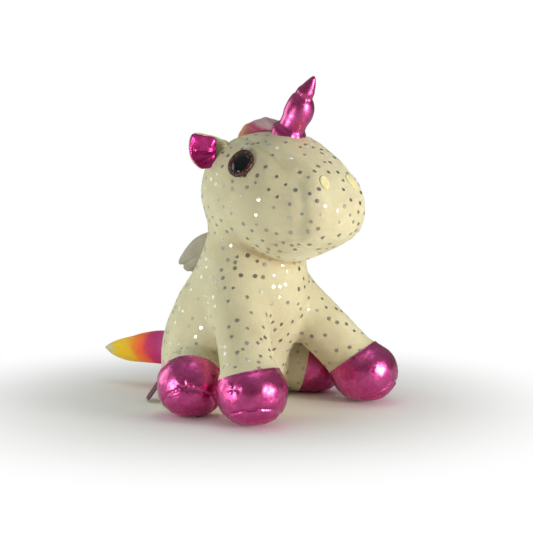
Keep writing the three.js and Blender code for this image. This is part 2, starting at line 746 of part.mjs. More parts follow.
// The space under the back of the head as it turns and tips back.
const headSwing = HEAD_TURN.reduce((sum, degrees) => {
  const tipped = rotatedAbout(headClear, neckCentre, X, -HEAD_NOD);
  return sum.add(solidOf(rotatedAbout(tipped, neckCentre, neckAxis, degrees)));
}, headForm(-SLIP));
const torsoClear = geometryOf(torsoForm(-SLIP));
for (const [name, side] of SIDES) {
  const root = mirrored(WING.root, side);
  const outward = mirrored([...WING.outward, 0], side).normalize();
  const rise = vector(WING.rise);
  const up = rise.addScaledVector(outward, -rise.dot(outward)).normalize();
  const axis = up.clone().multiplyScalar(side);
  const half = GAP / 2;
  const layers = [
    [half, half + WING_CLOTH],
    [-half - WING_CLOTH, -half],
  ];
  const facing = side < 0 ? ["back", "front"] : ["front", "back"];
  layers.forEach(([from, to], i) => {
    const sheet = solidOf(flatPiece(WING_OUTLINE, from, to, root, outward, up));
    const free = trimmed(sheet.subtract(headSwing), torsoClear, root, axis, WING.swing);
    addPiece(`wing_${name}_${facing[i]}`, free, "satin");
  });
}

// ---- Care label ----

const label = new THREE.BoxGeometry(LABEL.length, LABEL.width, LABEL.thickness);
label.translate(LABEL.length / 2, 0, 0);
const labelOut = vector(LABEL_OUT).normalize();
const labelTurn = new THREE.Quaternion().setFromUnitVectors(X, labelOut);
label.rotateY(degToRad(LABEL_DROOP)).applyQuaternion(labelTurn).translate(...LABEL.root);
addPiece("care_label", solidOf(label), "label");

export default toy;
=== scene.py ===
"""A seated plush unicorn: cream foil-dotted velour, metallic magenta hooves, horn and ears,
satin wings and a rainbow tail. Lengths in this script are in millimetres until a mesh is made."""
import math

import bmesh
import bpy
import numpy as np
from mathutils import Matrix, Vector
from mathutils.bvhtree import BVHTree


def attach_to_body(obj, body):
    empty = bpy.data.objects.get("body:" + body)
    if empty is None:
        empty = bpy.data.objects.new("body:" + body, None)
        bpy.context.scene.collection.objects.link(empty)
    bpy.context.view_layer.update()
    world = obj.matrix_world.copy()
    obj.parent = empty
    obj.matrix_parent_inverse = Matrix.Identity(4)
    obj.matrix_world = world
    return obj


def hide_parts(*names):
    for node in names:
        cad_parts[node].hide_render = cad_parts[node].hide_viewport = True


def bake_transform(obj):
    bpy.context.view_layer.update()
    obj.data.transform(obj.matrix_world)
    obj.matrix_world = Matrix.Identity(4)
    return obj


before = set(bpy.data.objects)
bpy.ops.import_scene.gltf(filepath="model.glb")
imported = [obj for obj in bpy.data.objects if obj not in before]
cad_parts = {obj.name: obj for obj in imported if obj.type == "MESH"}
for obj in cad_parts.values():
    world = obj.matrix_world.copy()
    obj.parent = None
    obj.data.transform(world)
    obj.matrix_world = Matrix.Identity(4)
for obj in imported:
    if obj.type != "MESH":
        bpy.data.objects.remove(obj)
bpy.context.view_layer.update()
MM = 0.001
SCENE = bpy.context.scene

# ---- camera and lights
AZIMUTH, ELEVATION, DISTANCE = math.radians(-46), math.radians(6), 1.1
TARGET = Vector((-0.028, -0.060, 0.113))
FOCAL_PIXELS, FRAME_PIXELS, SENSOR = 1466, 533, 36
BACK = Vector((math.sin(AZIMUTH) * math.cos(ELEVATION),
               -math.cos(AZIMUTH) * math.cos(ELEVATION), math.sin(ELEVATION)))
RIGHT = Vector((math.cos(AZIMUTH), math.sin(AZIMUTH), 0))
camera = bpy.data.objects.new("camera", bpy.data.cameras.new("camera"))
SCENE.collection.objects.link(camera)
camera.data.sensor_width = SENSOR
camera.data.lens = SENSOR * FOCAL_PIXELS / FRAME_PIXELS
camera.location = TARGET + BACK * DISTANCE
camera.rotation_mode = "QUATERNION"
camera.rotation_quaternion = (-BACK).to_track_quat("-Z", "Y")
camera.data.clip_end = 50
SCENE.camera = camera


def link(name, data):
    """A new object in the scene."""
    obj = bpy.data.objects.new(name, data)
    SCENE.collection.objects.link(obj)
    return obj


def lamp(name, right, up, towards, size, power, colour):
    """A soft square lamp, placed from the toy's middle along the view's right, up and towards it."""
    light = bpy.data.lights.new(name, "AREA")
    light.shape, light.size, light.energy, light.color = "SQUARE", size, power, colour
    obj = link(name, light)
    middle = Vector((0, -0.03, 0.11))
    flat_back = Vector((BACK.x, BACK.y, 0)).normalized()
    obj.location = middle + RIGHT * right + Vector((0, 0, up)) + flat_back * towards
    obj.rotation_mode = "QUATERNION"
    obj.rotation_quaternion = (middle - obj.location).to_track_quat("-Z", "Y")


lamp("key", 0.84, 0.06, 0.55, size=0.26, power=7.8, colour=(1.0, 0.95, 0.86))
lamp("fill", -0.46, -0.08, 0.26, size=0.16, power=1.35, colour=(1.0, 0.99, 0.92))
lamp("top", 0.1, 1.0, -0.1, size=0.5, power=1.2, colour=(0.93, 1.0, 1.04))
lamp("back", -0.90, 0.20, -0.40, size=0.6, power=2.6, colour=(0.86, 1.0, 0.92))


# ---- materials
class Nodes:
    """Short ways to add and join shader nodes."""

    def __init__(self, tree, shader=None):
        self.tree, self.shader = tree, shader

    def add(self, kind, inputs=(), **settings):
        node = self.tree.nodes.new(kind)
        for key, value in settings.items():
            setattr(node, key, value)
        for key, value in dict(inputs).items():
            self.give(node.inputs[key], value)
        return node

    def give(self, socket, value):
        """Links a socket to another, or sets its value."""
        if isinstance(value, bpy.types.NodeSocket):
            self.tree.links.new(value, socket)
        else:
            socket.default_value = value

    def noise(self, vector, scale, detail=2.0, **inputs):
        given = {"Vector": vector, "Scale": scale, "Detail": detail, **inputs}
        return self.add("ShaderNodeTexNoise", given).outputs["Fac"]

    def ramp(self, fac, stops):
        node = self.add("ShaderNodeValToRGB", {"Fac": fac})
        elements = node.color_ramp.elements
        while len(elements) < len(stops):
            elements.new(0.5)
        for element, (place, colour) in zip(elements, stops):
            element.position, element.color = place, (*colour, 1)
        return node.outputs["Color"]

    def maths(self, operation, *values):
        return self.add("ShaderNodeMath", dict(enumerate(values)), operation=operation).outputs[0]

    def mix(self, fac, a, b, blend="MIX"):
        a, b = ((*colour, 1) if isinstance(colour, tuple) else colour for colour in (a, b))
        given = {0: fac, 6: a, 7: b}  # a mix node has a socket of each type under the same name
        return self.add("ShaderNodeMix", given, data_type="RGBA", blend_type=blend).outputs[2]

    def bump(self, height, strength, distance, normal=None):
        given = {"Height": height, "Strength": strength, "Distance": distance}
        if normal is not None:
            given["Normal"] = normal
        return self.add("ShaderNodeBump", given).outputs["Normal"]

    def spread(self, value, low, high, start=0.0, end=1.0, **settings):
        """The value with low to high turned into start to end, held at both."""
        given = {"Value": value, "From Min": low, "From Max": high, "To Min": start, "To Max": end}
        return self.add("ShaderNodeMapRange", given, **settings).outputs["Result"]

    def join(self, socket, name):
        """Gives the shader's input of that name."""
        self.tree.links.new(socket, self.shader.inputs[name])


def finish_of(name, roughness, metallic=0.0, **sockets):
    """A new principled material: (material, its nodes, object coordinates)."""
    made = bpy.data.materials.new(name)
    made.use_nodes = True
    nodes = Nodes(made.node_tree, made.node_tree.nodes["Principled BSDF"])
    for key, value in {"Roughness": roughness, "Metallic": metallic, **sockets}.items():
        nodes.shader.inputs[key.replace("_", " ")].default_value = value
    return made, nodes, nodes.add("ShaderNodeTexCoord").outputs["Object"]


def velour_material():
    """Short cream pile: a fine nap that lies in patches, paler where it is seen edge on, with painted tan
    shade along the seams and in the fold under the chin.
    """
    made, n, place = finish_of(
        "cream_velour", 0.82, Sheen_Weight=0.45, Sheen_Roughness=0.45,
        Sheen_Tint=(0.90, 0.95, 0.80, 1), Specular_IOR_Level=0.25)
    patches = n.noise(place, 38, 3)
    nap = n.noise(place, 1500, 3)
    tone = n.ramp(patches, [(0.30, (0.66, 0.60, 0.39)), (0.55, (0.72, 0.67, 0.45)),
                            (0.75, (0.75, 0.715, 0.50))])
    speck = n.ramp(nap, [(0.32, (0.86, 0.85, 0.82)), (0.62, (1, 1, 1))])
    painted_crease_shade = n.add("ShaderNodeAttribute", attribute_name="painted_crease_shade").outputs["Fac"]
    cloth = n.mix(0.55, tone, speck, "MULTIPLY")
    # painted shade: the cloth is mixed towards tan along the deeper seams and in the fold under the chin
    n.join(n.mix(n.maths("MULTIPLY", painted_crease_shade, 0.6), cloth, (0.44, 0.29, 0.10)), "Base Color")
    pile = n.bump(nap, 0.35, 0.0004)
    n.join(n.bump(n.noise(place, 2600, 2), 0.35, 0.0002, pile), "Normal")
    return made


def foil_material(name, deep, mid, roughness, crinkle):
    """Metallised cloth: a shiny film on a fine weave, crinkled where it is stretched."""
    made, n, place = finish_of(name, roughness, 1.0, Coat_Weight=0.3, Coat_Roughness=0.2)
    n.join(n.ramp(n.noise(place, 160, 4), [(0.3, deep), (0.7, mid)]), "Base Color")
    uneven = n.spread(n.noise(place, 420, 3), 0.3, 0.7, roughness - 0.05, roughness + 0.10)
    n.join(uneven, "Roughness")
    weave = n.add("ShaderNodeTexVoronoi", {"Vector": place, "Scale": 2300}).outputs["Distance"]
    folds = n.bump(n.noise(place, 80, 2), crinkle, 0.0015)
    n.join(n.bump(weave, 0.16, 0.0002, folds), "Normal")
    return made


def satin_material(name, low, high, roughness, sheen):
    """Woven satin with a fine ribbed face."""
    made, n, place = finish_of(name, roughness, Sheen_Weight=sheen, Sheen_Roughness=0.35)
    n.join(n.ramp(n.noise(place, 90, 3), [(0.3, low), (0.7, high)]), "Base Color")
    ribs = n.add("ShaderNodeTexWave", {"Vector": place, "Scale": 900, "Distortion": 1.5})
    n.join(n.bump(ribs.outputs["Fac"], 0.22, 0.00015), "Normal")
    return made


def banded_material(name, stops, start, end, warp, tilt=0.0, crest=None):
    """Short printed pile whose colours run into each other along y, with ragged borders."""
    made, n, place = finish_of(name, 0.7, Sheen_Weight=0.08, Sheen_Roughness=0.4)
    spot = n.add("ShaderNodeSeparateXYZ", {"Vector": place}).outputs
    ragged = n.maths("MULTIPLY", n.maths("SUBTRACT", n.noise(place, 75, 4), 0.5), warp)
    along, height = n.maths("ADD", spot["Y"], ragged), spot["Z"]
    along = n.maths("ADD", along, n.maths("MULTIPLY", n.maths("SUBTRACT", 0.030, height), tilt))
    hue = n.ramp(n.spread(along, start, end), stops)
    if crest:  # another colour along the top of a tuft that climbs towards the front
        climb = n.maths("SUBTRACT", height, n.maths("MULTIPLY", spot["Y"], 0.35))
        over = n.maths("ADD", n.maths("SUBTRACT", climb, 0.2275), ragged)
        hue = n.mix(n.spread(over, 0.0, 0.003), hue, crest)
    nap = n.noise(place, 900, 4)
    fibre = n.ramp(nap, [(0.3, (0.72, 0.72, 0.72)), (0.65, (1, 1, 1))])
    n.join(n.mix(0.7, hue, fibre, "MULTIPLY"), "Base Color")
    n.join(n.bump(nap, 0.5, 0.0006), "Normal")
    return made


def plain_material(name, low, high, roughness, scale, bump, **sockets):
    """One colour with a fine grain."""
    made, n, place = finish_of(name, roughness, **sockets)
    grain = n.noise(place, scale, 3)
    n.join(n.ramp(grain, [(0.35, low), (0.65, high)]), "Base Color")
    n.join(n.bump(grain, bump, 0.0003), "Normal")
    return made


def glitter_material():
    """Brown-pink eye ring full of tiny bright flakes."""
    made, n, place = finish_of("eye_glitter", 0.42, 0.1, Specular_IOR_Level=0.2)
    cells = n.add("ShaderNodeTexVoronoi", {"Vector": place, "Scale": 1500})
    hue = n.add("ShaderNodeSeparateColor", {"Color": cells.outputs["Color"]})
    flakes = n.ramp(hue.outputs["Red"], [(0.0, (0.012, 0.005, 0.006)), (0.45, (0.045, 0.021, 0.022)),
                                         (0.72, (0.095, 0.045, 0.043)), (0.88, (0.28, 0.12, 0.07)),
                                         (0.95, (0.26, 0.07, 0.11)), (1.0, (0.22, 0.24, 0.20))])
    n.join(flakes, "Base Color")
    n.join(n.bump(cells.outputs["Distance"], 0.3, 0.0003), "Normal")
    return made


VELOUR = velour_material()
FOIL = foil_material("magenta_foil_cloth", (0.56, 0.055, 0.25), (0.72, 0.11, 0.36), 0.29, 0.09)
EAR_FOIL = foil_material("ear_foil_cloth", (0.55, 0.016, 0.19), (0.72, 0.050, 0.31), 0.25, 0.02)
DOT = plain_material("silver_foil_dots", (0.42, 0.40, 0.35), (0.54, 0.52, 0.46), 0.36, 500, 0.03,
                     Metallic=1.0)
THREAD = plain_material("nostril_thread", (0.78, 0.70, 0.36), (0.90, 0.84, 0.50), 0.5, 900, 0.3,
                        Sheen_Weight=0.3)
HORN_THREAD = plain_material("horn_thread", (0.36, 0.02, 0.13), (0.52, 0.05, 0.22), 0.4, 900, 0.3)
WING_SATIN = satin_material("wing_satin", (0.36, 0.335, 0.265), (0.47, 0.445, 0.36), 0.45, 0.3)
LABEL_SATIN = satin_material("label_satin", (0.09, 0.002, 0.025), (0.13, 0.004, 0.038), 0.5, 0.0)
PUPIL = plain_material("eye_black", (0.003, 0.0035, 0.004), (0.006, 0.006, 0.008), 0.06, 80, 0.0,
                       Specular_IOR_Level=0.3)
RAINBOW = banded_material("rainbow_pile", [
    (0.00, (0.58, 0.14, 0.36)), (0.22, (0.60, 0.10, 0.32)), (0.34, (0.56, 0.018, 0.20)),
    (0.43, (0.66, 0.022, 0.12)), (0.51, (1.0, 0.10, 0.04)), (0.61, (1.0, 0.24, 0.015)),
    (0.71, (0.98, 0.56, 0.008)), (0.88, (0.96, 0.66, 0.012)), (0.96, (0.62, 0.60, 0.40))],
    0.050, 0.136, 0.012, tilt=0.30)
MANE = banded_material("mane_pile", [
    (0.00, (0.45, 0.02, 0.16)), (0.25, (0.55, 0.05, 0.20)), (0.50, (0.70, 0.16, 0.22)),
    (0.68, (0.85, 0.34, 0.20)), (0.85, (0.80, 0.44, 0.26)), (1.0, (0.78, 0.60, 0.38))],
    -0.046, -0.002, 0.006, crest=(0.68, 0.44, 0.48))


# ---- shape tables, near the CAD's
# torso: height, centre y, half width, half depth
TORSO = np.array([[0, 15, 42, 35], [5, 15, 48.5, 41], [16, 14, 53, 45], [36, 12, 54.5, 49.5],
                  [58, 4, 53.5, 55], [82, -7, 49, 54.5], [104, -15, 43.5, 46],
                  [132, -21, 37, 37.5], [150, -24, 33, 33], [165, -28, 24, 24]], float)
# head: y, centre height, half width, half height
HEAD = np.array([[15, 168, 8, 8], [12.5, 168, 21, 20], [5, 167.5, 34.5, 32], [-7, 167, 43.5, 41],
                 [-23, 166.5, 48.5, 46.5], [-43, 166.5, 50, 48.5], [-62, 165.3, 48, 47.2],
                 [-79, 161.7, 44.5, 41.7], [-93, 158.4, 41, 34.5], [-104, 156.4, 35, 26.5],
                 [-111, 155.4, 25, 18], [-115, 155, 15, 11], [-116.8, 155, 6, 5]], float)[::-1]
HEAD_FULLNESS = 2.15
JOWL, JOWL_Y = 4.0, -62  # how far the underside hangs below its ellipse, and where it hangs most
GUSSET = np.array([[2, 7], [-20, 18], [-50, 30], [-62, 33], [-76, 32.6], [-88, 30.6], [-96, 27.6],
                   [-101, 29], [-107, 31], [-130, 31.5]], float)[::-1]
MOUTH_HEIGHT, CHIN_HALF_WIDTH, BELLY_HALF_WIDTH, SEAT_HEIGHT = 138, 26, 17, 6
# legs, left side: root, hoof centre, the leg's and the hoof's radii, and the cloth's bend: its
# direction, where it starts to follow the leg and where it follows it fully
LEGS = {
    "front": dict(root=(29, -29, 87), hoof=(63.5, -79.6, 24.2), radii=(21.5, 21.2),
                  hoof_radii=(27.2, 23.8), bend=(0.55, -0.75, -0.35), bend_from=30, bend_to=62),
    "hind": dict(root=(31, 11, 31), hoof=(68, -20, 22.6), radii=(26, 24.0),
                 hoof_radii=(27.4, 22.6), bend=(0.75, -0.60, -0.30), bend_from=36, bend_to=60),
}
HOOF_FULLNESS = 2.3
# each cuff: the way its plane faces, and how far it lies before the hoof's centre
CUFFS = {"front_leg_right": ((-0.05, -0.33, -0.94), 13.6), "front_leg_left": ((0.26, -0.52, -0.81), 14.5),
         "hind_leg_right": ((-0.74, -0.60, -0.30), 2.0), "hind_leg_left": ((0.75, -0.62, -0.20), 8.5)}
SOLE_DEPTH, CUT_REACH = 17, 42  # the sole starts so far under the hoof's centre


def unit(vector):
    vector = np.asarray(vector, float)
    return vector / np.linalg.norm(vector)


def mirrored(point, side):
    return np.array([point[0] * side, point[1], point[2]], float)


SIDES = {"left": 1, "right": -1}
LIMBS = {}
for kind, leg in LEGS.items():
    for side, sign in SIDES.items():
        root, hoof = mirrored(leg["root"], sign), mirrored(leg["hoof"], sign)
        facing, before = CUFFS[f"{kind}_leg_{side}"]
        LIMBS[f"{kind}_leg_{side}"] = dict(
            leg, kind=kind, sign=sign, root=root, hoof=hoof, along=unit(facing), cuff=before,
            hoof_name=f"{kind}_hoof_{side}", sole_name=f"{kind}_sole_{side}",
            sole=unit(unit(hoof - root) + (0, 0, -0.8)), bend=mirrored(leg["bend"], sign))


def cubic(x, xs, ys):
    """A smooth line through the points that never overshoots them, held at its ends."""
    h, slope = np.diff(xs), np.diff(ys) / np.diff(xs)
    m = np.zeros(len(xs))
    both = slope[:-1] * slope[1:] > 0
    a, b = 2 * h[1:] + h[:-1], h[1:] + 2 * h[:-1]
    m[1:-1][both] = ((a + b)[both]) / (a[both] / slope[:-1][both] + b[both] / slope[1:][both])
    m[0], m[-1] = slope[0], slope[-1]
    x = np.clip(x, xs[0], xs[-1])
    i = np.clip(np.searchsorted(xs, x) - 1, 0, len(xs) - 2)
    t = (x - xs[i]) / h[i]
    return ((1 + 2 * t) * (1 - t) ** 2 * ys[i] + t * (1 - t) ** 2 * h[i] * m[i]
            + t * t * (3 - 2 * t) * ys[i + 1] + t * t * (t - 1) * h[i] * m[i + 1])


def soft_min(a, b, k):
    h = np.maximum(k - np.abs(a - b), 0) / k
    return np.minimum(a, b) - h * h * k / 4


def smooth_step(x, low, high):
    t = np.clip((x - low) / (high - low), 0, 1)
    return t * t * (3 - 2 * t)


def torso_field(p):
    z = p[:, 2]
    cy, rx, ry = (cubic(z, TORSO[:, 0], TORSO[:, i]) for i in (1, 2, 3))
    q = np.sqrt((p[:, 0] / rx) ** 2 + ((p[:, 1] - cy) / ry) ** 2)
    return np.maximum((q - 1) * np.minimum(rx, ry), z - TORSO[-1, 0])


def head_field(p):
    y = p[:, 1]
    cz = cubic(y, HEAD[:, 0], HEAD[:, 1])
    rx, rz = (np.sqrt(cubic(y, HEAD[:, 0], HEAD[:, i] ** 2)) for i in (2, 3))
    rz = rz + np.where(p[:, 2] < cz, JOWL * np.exp(-(((y - JOWL_Y) / 18) ** 2)), 0)
    n = HEAD_FULLNESS
    q = (np.abs(p[:, 0] / rx) ** n + np.abs((p[:, 2] - cz) / rz) ** n) ** (1 / n)
    inside = (q - 1) * np.minimum(rx, rz)
    return np.maximum(inside, np.maximum(y - HEAD[-1, 0], HEAD[0, 0] - y))


def leg_field(p, limb):
    root, hoof = limb["root"], limb["hoof"]
    r0, r1 = limb["radii"]
    ab = hoof - root
    t = np.clip((p - root) @ ab / (ab @ ab), 0, 1)
    shaft = np.linalg.norm(p - root - t[:, None] * ab, axis=1) - (r0 + (r1 - r0) * t)
    across, tall = limb["hoof_radii"]
    level = np.linalg.norm((p - hoof)[:, :2], axis=1) / across
    n = HOOF_FULLNESS
    q = (level ** n + np.abs((p[:, 2] - hoof[2]) / tall) ** n) ** (1 / n)
    return soft_min(shaft, (q - 1) * tall, 5)


def gradient(field, p, step):
    """The field's slope along each axis, by central differences."""
    return np.stack([(field(p + e) - field(p - e)) / (2 * step) for e in step * np.eye(3)], -1)


def levelled(field, p):
    """The field over its own slope, which is close to the real distance near the surface."""
    return field(p) / np.maximum(np.linalg.norm(gradient(field, p, 0.4), axis=1), 0.3)


def under_chin(p):
    """From 0 beside the neck to 1 under the chin."""
    return smooth_step(-p[:, 1], 22, 52)


LEG_BLEND, LEG_CREASE, LEG_GAP, SEAT_EDGE = 9, 1.5, 4.2, 3  # mm over which the parts run together
NECK_BLEND, CHIN_BLEND, FOLD_DEPTH = 11, 2, 1.1


def skin_field(p):
    """Distance to the whole velour and foil skin: body, legs and head run into one another,
    with a fold only under the chin."""
    torso = levelled(torso_field, p)
    d = torso
    for limb in LIMBS.values():  # a leg runs into the body, but not into the next leg
        d = soft_min(d, soft_min(torso, leg_field(p, limb), LEG_BLEND), LEG_CREASE)
    clear = smooth_step(torso, 3, 9)  # only away from the body
    for side in SIDES:
        fore, hind = (leg_field(p, LIMBS[f"{kind}_leg_{side}"]) for kind in LEGS)
        beside = np.exp(-((fore - hind) / 5.0) ** 2) * smooth_step(-np.maximum(fore, hind), -9, -4)
        d = d + LEG_GAP * clear * beside
    d = -soft_min(-d, p[:, 2], SEAT_EDGE)
    head, front = levelled(head_field, p), under_chin(p)
    fold = FOLD_DEPTH * front * np.exp(-((d - head) / 4.2) ** 2)
    return soft_min(d, head, NECK_BLEND + (CHIN_BLEND - NECK_BLEND) * front) + fold


def chin_fold(p):
    """How much a point lies in the fold under the chin, from 0 to 1."""
    between = levelled(torso_field, p) - levelled(head_field, p)
    return under_chin(p) * np.exp(-((between / 5.0) ** 2))


CORNERS = [(i, j, k) for i in (0, 1) for j in (0, 1) for k in (0, 1)]


def surface_net(field, low, high, step):
    """Vertices and quads of the field's zero surface, one vertex to each crossed cell."""
    counts = np.ceil((high - low) / step).astype(int) + 1
    axes = [low[i] + step * np.arange(counts[i]) for i in range(3)]
    grid = np.stack(np.meshgrid(*axes, indexing="ij"), -1)
    f = field(grid.reshape(-1, 3)).reshape(counts)
    cells = counts - 1

    def at(values, c):
        return values[c[0]:c[0] + cells[0], c[1]:c[1] + cells[1], c[2]:c[2] + cells[2]]

    total, count = np.zeros((*cells, 3)), np.zeros(cells)
    for a in CORNERS:
        for axis in range(3):
            if a[axis]:
                continue
            b = tuple(1 if i == axis else a[i] for i in range(3))
            fa, fb = at(f, a), at(f, b)
            crossed = (fa < 0) != (fb < 0)
            t = np.where(crossed, fa / np.where(crossed, fa - fb, 1), 0)
            point = np.array(a, float) + t[..., None] * (np.array(b) - a)
            total += np.where(crossed[..., None], point, 0)
            count += crossed
    active = count > 0
    index = np.full(cells, -1)
    index[active] = np.arange(active.sum())
    base = np.stack(np.nonzero(active), -1)
    verts = low + step * (base + total[active] / count[active][:, None])
    faces = []
    for axis in range(3):
        u, v = (axis + 1) % 3, (axis + 2) % 3
        start = [slice(1, -1)] * 3
        start[axis] = slice(0, -1)
        ahead = list(start)
        ahead[axis] = slice(1, None)
        here, there = f[tuple(start)] < 0, f[tuple(ahead)] < 0
        places = np.stack(np.nonzero(here != there), -1) + [0 if i == axis else 1 for i in range(3)]
        out = here[here != there]
        du, dv = np.eye(3, dtype=int)[u], np.eye(3, dtype=int)[v]
        ring = [places - du - dv, places - dv, places, places - du]
        quad = np.stack([index[tuple(r.T)] for r in ring], -1)
        quad[~out] = quad[~out][:, ::-1]
        faces.append(quad)
    return verts, np.concatenate(faces)


def settle(field, verts):
    """Moves vertices onto the zero surface."""
    for _ in range(3):
        grad = gradient(field, verts, 0.3)
        move = field(verts)[:, None] * grad / np.maximum((grad ** 2).sum(1), 0.2)[:, None]
        verts = verts - np.clip(move, -1.5, 1.5)
    return verts


# ---- mesh helpers
def new_piece(name, verts, faces, material, body=None, smooth=True, slot=None):
    """A mesh object from millimetre points, shaded smooth, riding on a CAD body."""
    mesh = bpy.data.meshes.new(name)
    mesh.from_pydata((np.asarray(verts, float) * MM).tolist(), [], [list(map(int, q)) for q in faces])
    mesh.update()
    if smooth:
        mesh.shade_smooth()
    mesh.materials.append(material)
    obj = link(name, mesh)
    if body:
        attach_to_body(obj, body)
    return obj


def read(items, key, width=3, kind=float):
    """One value, or row of values, of each of a mesh's elements."""
    out = np.zeros(len(items) * width, kind)
    items.foreach_get(key, out)
    return out.reshape(-1, width)


def coordinates(mesh):
    return read(mesh.vertices, "co") / MM


def ring_faces(rows, around, first=0, closed=True, flip=False):
    """Quads between rows that each hold so many points."""
    faces = []
    for row in range(first, first + (rows - 1) * around, around):
        for i in range(around if closed else around - 1):
            a, b = row + i, row + (i + 1) % around
            faces.append((a, a + around, b + around, b) if flip else (a, b, b + around, a + around))
    return faces


def cap_faces(first, around, tip, flip=False):
    """Triangles from a row of points to one more point."""
    faces = [(first + i, first + (i + 1) % around, tip) for i in range(around)]
    return turned(faces) if flip else faces


def turned(faces):
    return [face[::-1] for face in faces]


def put(mesh, points):
    mesh.vertices.foreach_set("co", (np.asarray(points) * MM).ravel())
    mesh.update()


def normals(mesh):
    return read(mesh.vertices, "normal")


def drop(obj):
    mesh = obj.data
    bpy.data.objects.remove(obj)
    bpy.data.meshes.remove(mesh)


def relaxed(mesh, values, rounds, share=0.5, held=None):
    """Values averaged over the mesh's neighbours."""
    a, b = read(mesh.edges, "vertices", 2, int).T
    degree = np.bincount(np.r_[a, b], minlength=len(values)).astype(float)[:, None]
    values = np.array(values, float)
    for _ in range(rounds):
        mean = np.zeros_like(values)
        np.add.at(mean, a, values[b])
        np.add.at(mean, b, values[a])
        new = values + share * (mean / np.maximum(degree, 1) - values)
        values = new if held is None else np.where(held[:, None], values, new)
    return values


def subdivided(obj):
    """The object's mesh after one round of Catmull-Clark, applied."""
    modifier = obj.modifiers.new("round", "SUBSURF")
    modifier.levels = modifier.render_levels = 1
    dg = bpy.context.evaluated_depsgraph_get()
    mesh = bpy.data.meshes.new_from_object(obj.evaluated_get(dg))
    obj.modifiers.clear()
    old, obj.data = obj.data, mesh
    bpy.data.meshes.remove(old)
    mesh.shade_smooth()
    return mesh


def value_noise(points, size, seed):
    """Smooth noise from -1 to 1 whose bumps are about size millimetres wide."""
    q = points / size + seed * 17.3
    cell = np.floor(q).astype(np.int64)
    t = q - cell
    t = t * t * (3 - 2 * t)
    total = np.zeros(len(points))
    for corner in CORNERS:
        c = cell + corner
        h = (c[:, 0] * 73856093 ^ c[:, 1] * 19349663 ^ c[:, 2] * 83492791) & 0xFFFFFF  # a hash
        h = (h * 1103515245 + 12345) & 0x7FFFFFFF
        total += np.where(corner, t, 1 - t).prod(1) * (h / 0x3FFFFFFF - 1)
    return total


def inflate(obj, pinned, pressure, frames, cap):
    """Blows the skin up as cloth with its seams held, and moves no point further than the cap."""
    start = coordinates(obj.data)
    group = obj.vertex_groups.new(name="pin")
    for weight in (False, True):
        group.add(np.nonzero(pinned == weight)[0].tolist(), float(weight), "REPLACE")
    cloth = obj.modifiers.new("Cloth", "CLOTH")
    s = cloth.settings
    s.quality, s.use_pressure, s.uniform_pressure_force = 4, True, pressure
    s.vertex_group_mass = "pin"
    s.effector_weights.gravity = 0
    s.mass = 0.2
    cloth.point_cache.frame_start, cloth.point_cache.frame_end = 1, frames
    for number in range(1, frames + 1):
        SCENE.frame_set(number)
    evaluated = obj.evaluated_get(bpy.context.evaluated_depsgraph_get())
    end = coordinates(evaluated.data)
    obj.modifiers.clear()
    obj.vertex_groups.clear()
    SCENE.frame_set(1)
    move = end - start
    move[~np.isfinite(move).all(1)] = 0
    length = np.linalg.norm(move, axis=1)
    move *= (np.minimum(length, cap) / np.maximum(length, 1e-9))[:, None]
    put(obj.data, start + relaxed(obj.data, move, 2))


# ---- where the seams and pieces are
FOLD_PLANE = unit((0, -0.148, 0.989))
NECK_START, NECK_MIDDLE, NECK_END = 98, 124, 138


def gusset_half_width(y):
    return cubic(y, GUSSET[:, 0], GUSSET[:, 1])


def is_head(p):
    return p @ FOLD_PLANE > NECK_MIDDLE


def seam_distance(p):
    """Distance to the nearest seam of the velour skin, and that seam's depth."""
    x, y, z = np.abs(p[:, 0]), p[:, 1], p[:, 2]
    head, torso = p @ FOLD_PLANE > NECK_MIDDLE + 4, p @ FOLD_PLANE < NECK_START
    far = np.full(len(p), 99.0)
    width = gusset_half_width(y)
    muzzle = smooth_step(-y, 70, 92) * smooth_step(z, 128, 142)
    found = [
        (np.where(head & (z > MOUTH_HEIGHT - 8), np.abs(x - width), far), 0.5 - 0.25 * muzzle),
        (np.where(head & (z <= MOUTH_HEIGHT), np.abs(x - CHIN_HALF_WIDTH), far), 0.1 + 0 * x),
        (np.where(head & (x < width) & (y < -90), np.abs(z - MOUTH_HEIGHT), far), 0.1 + 0 * x),
        (np.where(torso & (y > 5) & (z > SEAT_HEIGHT), x, far), 0.6 + 0 * x),
    ]
    best, depth = far, np.zeros(len(p))
    for distance, how_deep in found:
        nearer = distance < best
        best, depth = np.where(nearer, distance, best), np.where(nearer, how_deep, depth)
    return best, depth, muzzle


# ---- the skin
CHEEK_DEPTH, MUZZLE_PUFF = 3.3, 1.2
STEP, SKIN_ROOM = ((3.2, 0.8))  # the skin swells into the room
verts, quads = surface_net(lambda p: skin_field(p) + SKIN_ROOM,
                           np.array([-101.0, -124, -5]), np.array([101.0, 72, 222]), STEP)
verts = settle(lambda p: skin_field(p) + SKIN_ROOM, verts)
skin = new_piece("skin", verts, quads, VELOUR)
p = coordinates(skin.data)
p = relaxed(skin.data, p, 3, 0.4, held=p[:, 2] < 1.5)
put(skin.data, p)
near_seam, how_deep, _ = seam_distance(p)
in_fold = chin_fold(p) > 0.1
pinned = ((near_seam < 3) & (how_deep > 0.2)) | (p[:, 2] < 1.5) | in_fold
inflate(skin, pinned, pressure=4.0, frames=16, cap=2.0)
mesh = subdivided(skin)
p, n = coordinates(mesh), normals(mesh)
lump = 0.45 * value_noise(p, 17, 1) + 0.18 * value_noise(p, 7, 2)
flat = smooth_step(p[:, 2], 1.0, 9.0)
distance, depth, muzzle = seam_distance(p)
groove = depth * np.exp(-((distance / (1.1 + 2.2 * muzzle)) ** 2))
past_gusset = np.abs(p[:, 0]) - gusset_half_width(p[:, 1])  # the cheek sinks beside the muzzle
cheek = muzzle * is_head(p) * np.exp(-(((past_gusset - 7) / 9) ** 2)) * smooth_step(past_gusset, -4, 5)
puff = muzzle * is_head(p) * np.exp(-(((past_gusset + 8) / 6) ** 2))
